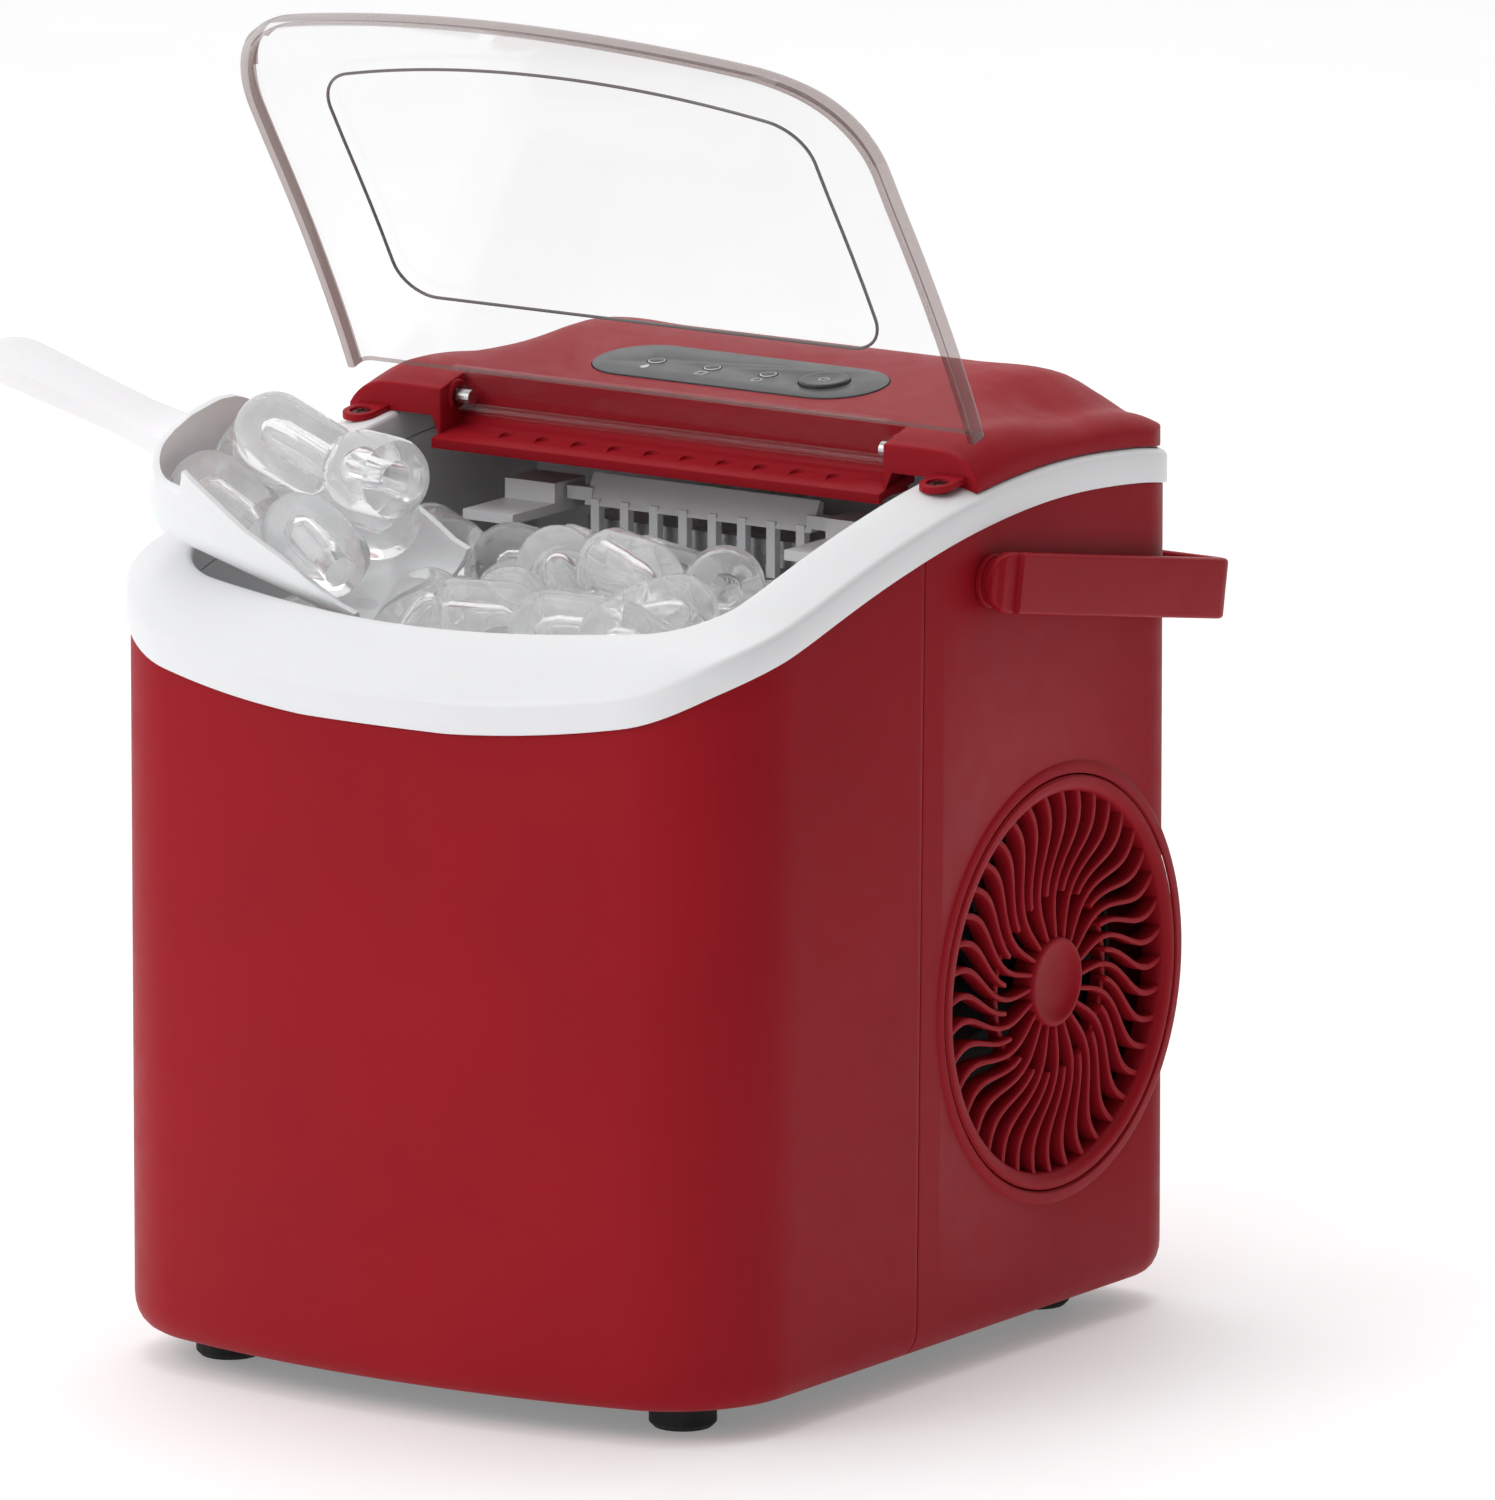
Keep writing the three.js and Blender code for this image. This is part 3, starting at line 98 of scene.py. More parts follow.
EDGE_DROP = [[0, 49], [0.09, 32.5], [0.237, 21], [0.397, 10.5], [0.557, 3.1],
             [0.721, 0], [0.886, 2.4], [1, 7.5]]
COVER_LINE = [[0, 18.8], [0.118, 22.3], [0.232, 23.8], [0.511, 27.2], [0.66, 28.3],
              [0.817, 27.6], [1, 26]]
SHOULDER_FRONT = [[0, 0.22], [2, 0.52], [6, 0.83], [12, 1], [40, 1]]
SHOULDER_REAR = [[0, 0.16], [3, 0.36], [8, 0.48], [15, 0.53], [24, 0.76], [36, 1], [60, 1]]
SHOULDER_BACK = [[0, 0.2], [3, 0.46], [8, 0.7], [16, 0.89], [30, 1], [60, 1]]
BASE_EDGE = [[7, 0], [5.2, 0.5], [3.5, 1.5], [2, 3.1], [0.9, 5.2], [0.25, 7.6], [0, 10]]


def along(table, at):
    """Cubic interpolation through a table of [position, value] rows."""
    last = len(table) - 1
    t = min(max(at, table[0][0]), table[last][0])
    i = 0
    while i < last - 1 and t > table[i + 1][0]:
        i += 1

    def slope(k):
        a = table[max(k - 1, 0)]
        b = table[min(k + 1, last)]
        return (b[1] - a[1]) / (b[0] - a[0])

    x0, y0 = table[i]
    x1, y1 = table[i + 1]
    span = x1 - x0
    u = (t - x0) / span
    h = u * u * (3 - 2 * u)
    bend = slope(i) * u * (1 - u) * (1 - u) - slope(i + 1) * u * u * (1 - u)
    return y0 * (1 - h) + y1 * h + span * bend


def edge_z(y):
    return CREST_Z - along(EDGE_DROP, (y + HALF_D) / DEPTH)


def smoothstep(x, low, high):
    t = min(max((x - low) / (high - low), 0), 1)
    return t * t * (3 - 2 * t)


def cover_line_z(y):
    return CREST_Z + along(COVER_LINE, (y - BRACKET_Y) / (HALF_D - BRACKET_Y))


def cover_foot_z(y):
    return edge_z(y) + RIM_H + GAP


def over_rim_z(x, y):
    inward = min(1, (HALF_W - abs(x) + 1.5) / (RIM_W - 1))
    return cover_foot_z(y) + RIM_RISE * inward


def cover_top_z(x, y):
    side = HALF_W - abs(x)
    t = smoothstep(y, COVER_Y, COVER_Y + 55)
    shoulder = along(SHOULDER_FRONT, side) * (1 - t) + along(SHOULDER_REAR, side) * t
    foot = cover_foot_z(y)
    back = along(SHOULDER_BACK, HALF_D - y)
    return foot + (cover_line_z(y) - foot) * shoulder * back


# ---------------------------------------------------------------- mesh helpers
def arc(cx, cy, r, start, end, steps):
    """Points on an arc, in degrees, both ends included."""
    angles = [math.radians(start + (end - start) * i / steps) for i in range(steps + 1)]
    return [(cx + r * math.cos(a), cy + r * math.sin(a)) for a in angles]


def plan_outline(inset, front=48, corner=20, side=60, rear=12):
    """The body's plan outline at an inset, with the same number of points at every inset."""
    cx = HALF_W - FRONT_CORNER_R
    bulge_r = (cx * cx + FRONT_BULGE * FRONT_BULGE) / (2 * FRONT_BULGE)
    bulge_y = bulge_r - HALF_D
    corner_y = bulge_y - math.sqrt((bulge_r - FRONT_CORNER_R) ** 2 - cx * cx)
    tip = math.degrees(math.atan2(corner_y - bulge_y, cx))
    front_r = FRONT_CORNER_R - inset
    rear_r = max(REAR_CORNER_R - inset, 0.5)
    rear_x = HALF_W - inset - rear_r
    rear_y = HALF_D - inset - rear_r
    flat = HALF_W - inset
    points = arc(0, bulge_y, bulge_r - inset, -180 - tip, tip, front)
    points += arc(cx, corner_y, front_r, tip, 0, corner)[1:]
    points += [(flat, corner_y + (rear_y - corner_y) * i / side) for i in range(1, side)]
    points += arc(rear_x, rear_y, rear_r, 0, 90, rear)
    points += arc(-rear_x, rear_y, rear_r, 90, 180, rear)
    points += [(-flat, rear_y + (corner_y - rear_y) * i / side) for i in range(1, side)]
    points += arc(-cx, corner_y, front_r, 180, 180 - tip, corner)[:-1]
    return points


def make(name, verts, faces, look, sharp=35):
    """A smooth-shaded mesh object from millimetre vertices, with its facing made consistent."""
    mesh = bpy.data.meshes.new(name)
    mesh.from_pydata([Vector(v) * MM for v in verts], [], faces)
    built = bmesh.new()
    built.from_mesh(mesh)
    bmesh.ops.remove_doubles(built, verts=built.verts, dist=1e-6)
    bmesh.ops.recalc_face_normals(built, faces=built.faces)
    built.to_mesh(mesh)
    built.free()
    soften(mesh, sharp)
    piece = bpy.data.objects.new(name, mesh)
    bpy.context.scene.collection.objects.link(piece)
    piece.data.materials.append(look)
    return piece


def soften(mesh, sharp=35):
    mesh.shade_smooth()
    mesh.set_sharp_from_angle(angle=math.radians(sharp))


def grid_faces(rows, columns, closed_rows=False, closed_columns=False):
    """Quads over rows of points laid out one row after another."""
    faces = []
    for r in range(rows if closed_rows else rows - 1):
        below = r * columns
        above = (r + 1) % rows * columns
        for c in range(columns if closed_columns else columns - 1):
            d = (c + 1) % columns
            faces.append((below + c, below + d, above + d, above + c))
    return faces


def ring_loft(name, rings, look, closed=False, caps=False, sharp=35):
    """A skin over rings of equal length: a closed section runs back to its first ring."""
    count = len(rings[0])
    faces = grid_faces(len(rings), count, closed, True)
    if caps:
        faces.append(tuple(range(count)))
        faces.append(tuple(range((len(rings) - 1) * count, len(rings) * count)))
    return make(name, [p for ring in rings for p in ring], faces, look, sharp)


def outline_ring(name, section, look, height=edge_z, sharp=35):
    """A closed ring round the plan outline from [inset, rise] rows."""
    rings = [[(x, y, height(y) + rise) for x, y in plan_outline(inset)] for inset, rise in section]
    return ring_loft(name, rings, look, closed=True, sharp=sharp)


AXIS_ORDER = {"x": (2, 0, 1), "y": (1, 2, 0), "z": (0, 1, 2)}


def prism(name, axis, points, low, high, look=None):
    """A prism along an axis: x takes (y, z) points, y takes (z, x) points, z takes (x, y)."""
    order = AXIS_ORDER[axis]
    rings = []
    for level in (low, high):
        flat = [(p[0], p[1], level) for p in points]
        rings.append([tuple(q[i] for i in order) for q in flat])
    return ring_loft(name, rings, look, caps=True)


def circle(cx, cy, r, steps=64):
    return arc(cx, cy, r, 0, 360 * (steps - 1) / steps, steps - 1)


def rod(name, axis, u, v, r, low, high, look=None, steps=64):
    return prism(name, axis, circle(u, v, r, steps), low, high, look)


def block(name, x, y, z, look=None):
    corners = [(x[0], y[0]), (x[1], y[0]), (x[1], y[1]), (x[0], y[1])]
    return prism(name, "z", corners, z[0], z[1], look)


def lathe(name, rows, look, steps=48, sharp=35):
    """A solid of revolution about Z from (radius, height) rows that start and end on the axis."""
    rings = [[(r * math.cos(a), r * math.sin(a), z) for a in turn_angles(steps)] for r, z in rows]
    return ring_loft(name, rings, look, caps=False, sharp=sharp)


def turn_angles(steps):
    return [2 * math.pi * i / steps for i in range(steps)]


def stadium(length, width, steps=16):
    r = width / 2
    inner = length / 2 - r
    return arc(inner, 0, r, -90, 90, steps) + arc(-inner, 0, r, 90, 270, steps)


def bake(piece, sharp=35):
    """Applies a piece's modifiers to its mesh."""
    bpy.context.view_layer.update()
    graph = bpy.context.evaluated_depsgraph_get()
    mesh = bpy.data.meshes.new_from_object(piece.evaluated_get(graph))
    piece.modifiers.clear()
    piece.data = mesh
    soften(mesh, sharp)
    return piece


def combine(piece, tools, operation="DIFFERENCE", sharp=35):
    """Cuts, joins or crosses a piece with tools, which are used up."""
    for tool in tools:
        step = piece.modifiers.new(tool.name, "BOOLEAN")
        step.object = tool
        step.operation = operation
        step.solver = "EXACT"
    bake(piece, sharp)
    for tool in tools:
        bpy.data.objects.remove(tool)
    return piece


def round_edges(piece, width, segments=3, angle=35, sharp=35):
    """Rounds the edges sharper than an angle."""
    step = piece.modifiers.new("rounding", "BEVEL")
    step.width = width * MM
    step.segments = segments
    step.limit_method = "ANGLE"
    step.angle_limit = math.radians(angle)
    step.use_clamp_overlap = True
    step.harden_normals = False
    return bake(piece, sharp)


def turn(piece, euler_deg=(0, 0, 0), move=(0, 0, 0)):
    """Turns and then moves a piece's mesh, in degrees and millimetres."""
    spin = Euler([math.radians(a) for a in euler_deg], "XYZ").to_matrix().to_4x4()
    piece.data.transform(Matrix.Translation(Vector(move) * MM) @ spin)
    return piece


def put(piece, body, nodes=()):
    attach(piece, body)
    if nodes:
        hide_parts(*nodes)
    return piece


# ---------------------------------------------------------------- materials
def link(tree, source, output, target, socket):
    tree.links.new(source.outputs[output], target.inputs[socket])


def noise(tree, coords, scale, detail=3.0, roughness=0.5):
    node = tree.nodes.new("ShaderNodeTexNoise")
    node.inputs["Scale"].default_value = scale
    node.inputs["Detail"].default_value = detail
    node.inputs["Roughness"].default_value = roughness
    link(tree, coords, "Object", node, "Vector")
    return node


def spread(tree, source, low, high):
    """A noise's value mapped onto a range."""
    node = tree.nodes.new("ShaderNodeMapRange")
    node.inputs["From Min"].default_value = 0.3
    node.inputs["From Max"].default_value = 0.7
    node.inputs["To Min"].default_value = low
    node.inputs["To Max"].default_value = high
    link(tree, source, "Fac", node, "Value")
    return node


def two_tone(tree, source, dark, light):
    node = tree.nodes.new("ShaderNodeValToRGB")
    node.color_ramp.elements[0].position = 0.3
    node.color_ramp.elements[0].color = (*dark, 1)
    node.color_ramp.elements[1].position = 0.7
    node.color_ramp.elements[1].color = (*light, 1)
    link(tree, source, "Fac", node, "Fac")
    return node


def finish(name, color, rough, vary=0.06, grain=2600.0, depth=0.05, patch=14.0, **inputs):
    """A moulded or metal finish: slow colour drift, uneven gloss and a fine surface grain."""
    look = bpy.data.materials.new(name)
    look.use_nodes = True
    tree = look.node_tree
    shader = tree.nodes["Principled BSDF"]
    coords = tree.nodes.new("ShaderNodeTexCoord")
    drift = noise(tree, coords, patch)
    dark = [c * (1 - vary) for c in color]
    light = [min(1, c * (1 + vary)) for c in color]
    link(tree, two_tone(tree, drift, dark, light), "Color", shader, "Base Color")
    gloss = noise(tree, coords, patch * 9)
    link(tree, spread(tree, gloss, rough * 0.9, rough * 1.1), "Result", shader, "Roughness")
    fine = noise(tree, coords, grain, 2.0)
    bump = tree.nodes.new("ShaderNodeBump")
    bump.inputs["Strength"].default_value = depth
    bump.inputs["Distance"].default_value = 0.0002
    link(tree, fine, "Fac", bump, "Height")
    link(tree, bump, "Normal", shader, "Normal")
    for socket, value in inputs.items():
        shader.inputs[socket.replace("_", " ")].default_value = value
    return look


def clear_sheet(name, tint, shine):
    """A thin clear moulding: light goes straight through it and a little is reflected."""
    look = bpy.data.materials.new(name)
    look.use_nodes = True
    tree = look.node_tree
    tree.nodes.remove(tree.nodes["Principled BSDF"])
    coords = tree.nodes.new("ShaderNodeTexCoord")
    through = tree.nodes.new("ShaderNodeBsdfTransparent")
    hue = two_tone(tree, noise(tree, coords, 5.0), [c * 0.985 for c in tint], tint)
    link(tree, hue, "Color", through, "Color")
    gloss = tree.nodes.new("ShaderNodeBsdfGlossy")
    link(tree, spread(tree, noise(tree, coords, 30.0), 0.02, 0.05), "Result", gloss, "Roughness")
    slant = tree.nodes.new("ShaderNodeLayerWeight")
    slant.inputs["Blend"].default_value = 0.5
    rise = tree.nodes.new("ShaderNodeMath")
    rise.operation = "POWER"
    rise.inputs[1].default_value = 4.0
    link(tree, slant, "Facing", rise, 0)
    share = tree.nodes.new("ShaderNodeMath")
    share.operation = "MULTIPLY_ADD"
    share.inputs[1].default_value = shine
    share.inputs[2].default_value = 0.03
    link(tree, rise, "Value", share, 0)
    mix = tree.nodes.new("ShaderNodeMixShader")
    link(tree, share, "Value", mix, "Fac")
    tree.links.new(through.outputs[0], mix.inputs[1])
    tree.links.new(gloss.outputs[0], mix.inputs[2])
    link(tree, mix, "Shader", tree.nodes["Material Output"], "Surface")
    return look


def ice_look():
    """Clear ice with faint cloudy wisps, a wet, slightly uneven surface and a faint white glow,
    which is painted light that brightens the ice as if it were lit from within.
    """
    # The white emission is painted light: a faint glow that lifts the ice brighter than the bin's
    # light would leave it.
    look = finish("clear_ice", (0.99, 0.995, 1.0), 0.03, 0.01, 260.0, 0.22, 40.0,
                  Transmission_Weight=1.0, IOR=1.24, Emission_Color=(1, 1, 1, 1),
                  Emission_Strength=0.03)
    tree = look.node_tree
    shader = tree.nodes["Principled BSDF"]
    coords = tree.nodes["Texture Coordinate"]
    cloud = noise(tree, coords, 120.0, 6.0, 0.65)
    link(tree, spread(tree, cloud, 0.98, 0.80), "Result", shader, "Transmission Weight")
    return look


RED = finish("red_plastic", (0.315, 0.0075, 0.0150), 0.45, 0.05, Specular_IOR_Level=0.1)
WHITE = finish("white_plastic", (0.82, 0.825, 0.84), 0.34, 0.015, Subsurface_Weight=0.06,
               Subsurface_Scale=0.004)
SCOOP_WHITE = finish("scoop_plastic", (0.86, 0.865, 0.88), 0.38, 0.02, Subsurface_Weight=0.2,
                     Subsurface_Scale=0.006)
CLEAR = clear_sheet("clear_plastic", (0.995, 0.993, 0.993), 0.3)
SMOKE = clear_sheet("smoky_edge", (0.50, 0.43, 0.42), 0.7)
RAIL = clear_sheet("clear_rail", (0.93, 0.90, 0.90), 0.6)
LINE = finish("window_line", (0.16, 0.14, 0.14), 0.15, 0.1)
SCREW = finish("dark_screw", (0.05, 0.012, 0.014), 0.4, 0.2, Metallic=0.6)
ICE = ice_look()
DARK = finish("dark_panel", (0.040, 0.042, 0.045), 0.34, 0.08)
BUTTON = finish("panel_button", (0.020, 0.021, 0.023), 0.30, 0.1)
LAMP = finish("lamp_lens", (0.80, 0.82, 0.78), 0.2, 0.03)
PRINT = finish("panel_print", (0.62, 0.63, 0.63), 0.5, 0.04)
BLACK = finish("black_plastic", (0.012, 0.012, 0.013), 0.6, 0.15)
RUBBER = finish("black_rubber", (0.010, 0.010, 0.010), 0.75, 0.2, 900.0, 0.2)
GREY = finish("grey_plastic", (0.42, 0.43, 0.45), 0.45, 0.04)
STEEL = finish("bright_metal", (0.62, 0.63, 0.64), 0.28, 0.06, 1800.0, 0.1, Metallic=1.0)
ENAMEL = finish("black_enamel", (0.012, 0.012, 0.012), 0.3, 0.1)
COPPER = finish("copper", (0.62, 0.29, 0.16), 0.3, 0.12, Metallic=1.0)
BOARD = finish("board_green", (0.012, 0.09, 0.045), 0.4, 0.15)

LOOK_OF_SLOT = {
    "red_plastic": RED, "white_plastic": WHITE, "clear_plastic": CLEAR, "dark_panel": DARK,
    "black_plastic": BLACK, "black_rubber": RUBBER, "grey_plastic": GREY, "lamp_lens": LAMP,
    "black_enamel": ENAMEL, "bright_metal": STEEL, "copper": COPPER, "board_green": BOARD,
}


def dress_cad_nodes():
    """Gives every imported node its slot's material and smooth shading."""
    slot_of = {row["node"]: row["material_slot"] for row in frame["record"]["subparts"]}
    for name, node in frame["nodes"].items():
        node.data.materials.clear()
        node.data.materials.append(LOOK_OF_SLOT[slot_of[name]])
        soften(node.data, 30)


# ---------------------------------------------------------------- shells
SEAM_LEAN = 4.0  # how far the seam leans forwards from its top to its foot


def shell_skin(name):
    low = [[(x, y, z) for x, y in plan_outline(inset)] for inset, z in BASE_EDGE]
    high = [[(x, y, edge_z(y) - GAP) for x, y in plan_outline(inset)] for inset in (0, WALL)]
    inner = [[(x, y, z) for x, y in plan_outline(inset + WALL)]
             for inset, z in reversed(BASE_EDGE)]
    return ring_loft(name, low + high + inner, RED, closed=True)


def seam_cutter(side):
    """Everything behind (side 1) or in front of (side -1) the leaning seam."""
    far = side * 200
    near = side * GAP / 2
    low, high = -CREST_Z, 2 * CREST_Z
    lean = SEAM_LEAN * (high - low) / CREST_Z / 2
    section = [(SEAM_Y + near - lean, low), (SEAM_Y + near + lean, high), (far, high), (far, low)]
    return prism("seam", "x", section, -150, 150)


VENT_SLOTS = 8
VENT_PITCH = 9.0


def left_vents():
    slots = []
    for i in range(VENT_SLOTS):
        z = GRILLE_Z + (i - (VENT_SLOTS - 1) / 2) * VENT_PITCH
        outline = [(GRILLE_Y + u, z + v) for u, v in stadium(72, 4, 6)]
        slots.append(prism("vent", "x", outline, -HALF_W - 5, -HALF_W + 8))
    return slots


def shells():
    front = combine(shell_skin("front_cowl"), [seam_cutter(-1)], "INTERSECT")
    put(round_edges(front, 0.5, 2), "housing", ["front_shell"])
    rear = combine(shell_skin("rear_cowl"), [seam_cutter(1)], "INTERSECT")
    holes = [rod("hole", "x", GRILLE_Y, GRILLE_Z, GRILLE_R + GRILLE_RING + GAP,
                 HALF_W - 12, HALF_W + 12, steps=128)]
    holes += left_vents()
    holes.append(rod("hole", "y", 34, -70, 8.35, HALF_D - 10, HALF_D + 10))
    rear = combine(rear, holes)
    put(round_edges(rear, 0.5, 2), "housing", ["rear_shell"])


def grille_surround():
    """The low step that runs round the grille on the side face."""
    rows = [(62.6, -0.3), (62.6, 0.25), (63.0, 0.6), (65.2, 0.6), (66.2, 0.15), (66.6, -0.3)]
    rings = [[(HALF_W + x, GRILLE_Y + r * math.cos(a), GRILLE_Z + r * math.sin(a))
              for a in turn_angles(160)] for r, x in rows]
    ring = ring_loft("grille_step", rings, RED, closed=True)
    put(ring, "housing")


# ---------------------------------------------------------------- rim
def rim_section():
    """The rim's cross-section as [inset, rise] rows, from its outer foot over its crown."""
    rows = [(-RIM_PROUD + 0.4, 0), (-RIM_PROUD, 0.5), (-RIM_PROUD, RIM_H - 2.2)]
    rows += [(-RIM_PROUD + 2.2 * (1 - math.cos(a)), RIM_H - 2.2 + 2.2 * math.sin(a))
             for a in (0.35, 0.7, 1.05, 1.35)]
    for t in (0.15, 0.3, 0.5, 0.7, 0.88):
        rows.append((RIM_W * t, RIM_H + RIM_RISE * math.sin(t * math.pi / 2)))
    crown = RIM_H + RIM_RISE
    rows += [(RIM_W - 1.0, crown - 0.15), (RIM_W - 0.3, crown - 0.7), (RIM_W, crown - 1.6)]
    rows += [(RIM_W, 4), (RIM_W - 3, 4), (RIM_W - 3, 6.5 + RIM_RISE * 0.7), (3, 6.5), (3, 0)]
    return rows


def rim():
    ring = outline_ring("rim_moulding", rim_section(), WHITE, sharp=50)
    put(ring, "housing", ["rim_frame"])


# ---------------------------------------------------------------- top cover
COVER_INSET = 0.8
EDGE_ROUND = 1.8


def half_width(y):
    """Half the cover's width at a distance y from the middle."""
    flat = HALF_W - COVER_INSET
    r = REAR_CORNER_R - COVER_INSET
    start = HALF_D - COVER_INSET - r
    if y <= start:
        return flat
    return flat - r + math.sqrt(max(r * r - (y - start) ** 2, 0))


def cover_rows():
    rows = [BRACKET_Y, 18, 20, 22.5, 25, 28, COVER_Y]
    start = HALF_D - REAR_CORNER_R
    rows += [COVER_Y + (start - COVER_Y) * i / 30 for i in range(1, 31)]
    r = REAR_CORNER_R - COVER_INSET
    rows += [start + r * math.sin(math.radians(90 * i / 16)) for i in range(1, 17)]
    return rows


SIDE_STEPS = [0, 1.5, 3, 4.5, 6, 8, 10, 12, 14.5, 17, 19.5, 22, 24.5, 27, 30, 33.2]


def cover_columns(y):
    """X of each column of the cover at one row: the same number at every row."""
    reach = half_width(y) - BRACKET_X
    full = SIDE_STEPS[-1]
    outer = [BRACKET_X + reach * (1 - s / full) for s in SIDE_STEPS[:-1]]
    inner = [BRACKET_X * (1 - i / 24) for i in range(25)]
    right = outer + inner
    return right + [-x for x in reversed(right[:-1])]


def cover_mesh(name):
    """The cover's top as a grid, open over the trough, with walls down from every border."""
    rows = cover_rows()
    columns = [cover_columns(y) for y in rows]
    count = len(columns[0])
    verts = [(x, y, cover_top_z(x, y)) for y, xs in zip(rows, columns) for x in xs]
    faces = []
    for r in range(len(rows) - 1):
        for c in range(count - 1):
            middle = (columns[r][c] + columns[r][c + 1]) / 2
            if rows[r + 1] <= COVER_Y + 0.01 and abs(middle) < BRACKET_X:
                continue
            a = r * count + c
            faces.append((a, a + 1, a + 1 + count, a + count))
    return drop_walls(name, verts, faces)


def wall_foot(x, y):
    inside = abs(x) < BRACKET_X + 0.1 and y < COVER_Y + 0.1
    return CREST_Z + 3.0 if inside else over_rim_z(x, y) - 0.2


def drop_walls(name, verts, faces):
    """Adds a wall from each border edge of a top skin down to its foot."""
    seen = {}
    for face in faces:
        for a, b in zip(face, face[1:] + face[:1]):
            seen[(a, b)] = seen.get((b, a), 0) + 1
    borders = [(a, b) for face in faces for a, b in zip(face, face[1:] + face[:1])
               if (b, a) not in seen]
    foot_of = {}
    verts = list(verts)
    for a, b in borders:
        for v in (a, b):
            if v not in foot_of:
                x, y, z = verts[v]
                foot_of[v] = len(verts)
                verts.append((x, y, min(wall_foot(x, y), z - 1)))
    walls = [(b, a, foot_of[a], foot_of[b]) for a, b in borders]
    return make(name, verts, faces + walls, RED)


def ear(side):
    """The tab with a screw hole in front of each bracket."""
    outline = arc(side * EAR_X, EAR_Y, EAR_R, 180, 360, 20)
    outline += [(side * EAR_X + EAR_R, BRACKET_Y + 1), (side * EAR_X - EAR_R, BRACKET_Y + 1)]
    rise = RIM_H + RIM_RISE * (HALF_W - EAR_X + EAR_R) / RIM_W + GAP
    rings = [[(x, y, edge_z(y) + rise + t) for x, y in outline] for t in (0, 2.0)]
    tab = ring_loft("ear", rings, RED, caps=True)
    hole = rod("ear_hole", "z", side * EAR_X, EAR_Y, 3.4, edge_z(EAR_Y) + rise + 1.1, 300)
    return round_edges(combine(tab, [hole]), 0.4, 2)


def sunk_screw(side, name):
    """A screw head down in the ear's hole, with a cross slot."""
    rise = RIM_H + RIM_RISE * (HALF_W - EAR_X + EAR_R) / RIM_W + GAP
    rows = [(0, -3), (3.0, -3), (3.0, 0.1), (2.6, 0.45), (1.4, 0.6), (0, 0.62)]
    head = lathe("ear_screw_" + name, rows, SCREW, 32)
    slots = [block("slot", (-2.0, 2.0), (-0.35, 0.35), (0.2, 2)),
             block("slot", (-0.35, 0.35), (-2.0, 2.0), (0.2, 2))]
    combine(head, slots)
    turn(head, (8, 0, 0), (side * EAR_X, EAR_Y, edge_z(EAR_Y) + rise + 1.0))
    put(head, "housing", ["cover_screw_" + name])


def top_cover():
    cover = round_edges(cover_mesh("cover_moulding"), EDGE_ROUND, 4, 42)
    pocket = prism("pocket", "z", stadium(PANEL_L + 2 * GAP, PANEL_W + 2 * GAP, 24), -1.95, 10)
    turn(pocket, (PANEL_TILT, 0, 0), (0, PANEL_Y, cover_line_z(PANEL_Y)))
    combine(cover, [pocket], sharp=40)
    put(cover, "housing", ["top_cover"])
    for side, name in ((-1, "left"), (1, "right")):
        tab = ear(side)
        tab.name = "cover_ear_" + name
        put(tab, "housing")
        sunk_screw(side, name)


TROUGH_Y = 13.0
FLOOR_LOW_Z = CREST_Z + 4.5
FLOOR_HIGH_Z = CREST_Z + 7.5
NOTCHES = 10
NOTCH_PITCH = 13.0


def trough_section():
    """The trough's profile: a rolled front lip, a rising floor and the wall under the cover."""
    wall = 2.2
    face = COVER_Y - 0.6  # the wall stands clear of the cover's own front edge
    top = cover_top_z(0, COVER_Y) - 0.4
    corner = arc(face - 4, FLOOR_HIGH_Z + 4, 4, -82, 0, 6)
    return ([(TROUGH_Y, FLOOR_LOW_Z - 3), (TROUGH_Y, FLOOR_LOW_Z)] + corner
            + [(face, top), (face + wall, top), (face + wall, FLOOR_HIGH_Z - wall),
               (TROUGH_Y + wall, FLOOR_LOW_Z - wall), (TROUGH_Y + wall, FLOOR_LOW_Z - 3)])


def notch(x):
    """A teardrop recess in the trough's floor."""
    outline = arc(x, 21.5, 2.1, 0, 180, 8) + [(x - 0.5, 16.5), (x + 0.5, 16.5)]
    return prism("notch", "z", outline, FLOOR_LOW_Z + 1.1, FLOOR_HIGH_Z + 12)


def trough():
    section = trough_section()
    channel = prism("trough_moulding", "x", section, -BRACKET_X - 1, BRACKET_X + 1, RED)
    xs = [(i - (NOTCHES - 1) / 2) * NOTCH_PITCH for i in range(NOTCHES)]
    combine(channel, [notch(x) for x in xs])
    put(round_edges(channel, 0.5, 2), "housing")


def hinge_rings():
    """The moulded rings where the lid's hinge pins enter the brackets."""
    for side, name in ((-1, "left"), (1, "right")):
        rows = [(3.2, 0), (3.2, 0.7), (3.6, 1.0), (4.6, 1.0), (5.1, 0.6), (5.1, 0)]
        rings = [[(side * (BRACKET_X - t), HINGE_Y + r * math.cos(a), HINGE_Z + r * math.sin(a))
                  for a in turn_angles(40)] for r, t in rows]
        ring = ring_loft("hinge_ring_" + name, rings, RED, closed=True)
        put(ring, "housing")


# ---------------------------------------------------------------- control panel
def on_panel(piece):
    return turn(piece, (PANEL_TILT, 0, 0), (0, PANEL_Y, cover_line_z(PANEL_Y)))


LAMPS_X = [-1.5 * LAMP_PITCH, -0.5 * LAMP_PITCH, 0.5 * LAMP_PITCH]
BUTTON_X = 1.5 * LAMP_PITCH
SIGN_Y = -6.2  # the signs stand this far in front of the lamps
SIGN_T = 0.08  # thickness of their print
KEY_TOP = 1.08  # height of the button's dished top over the panel's seat


def printed(piece, body="housing"):
    """Lays a flat printed sign on the panel."""
    put(on_panel(piece), body)


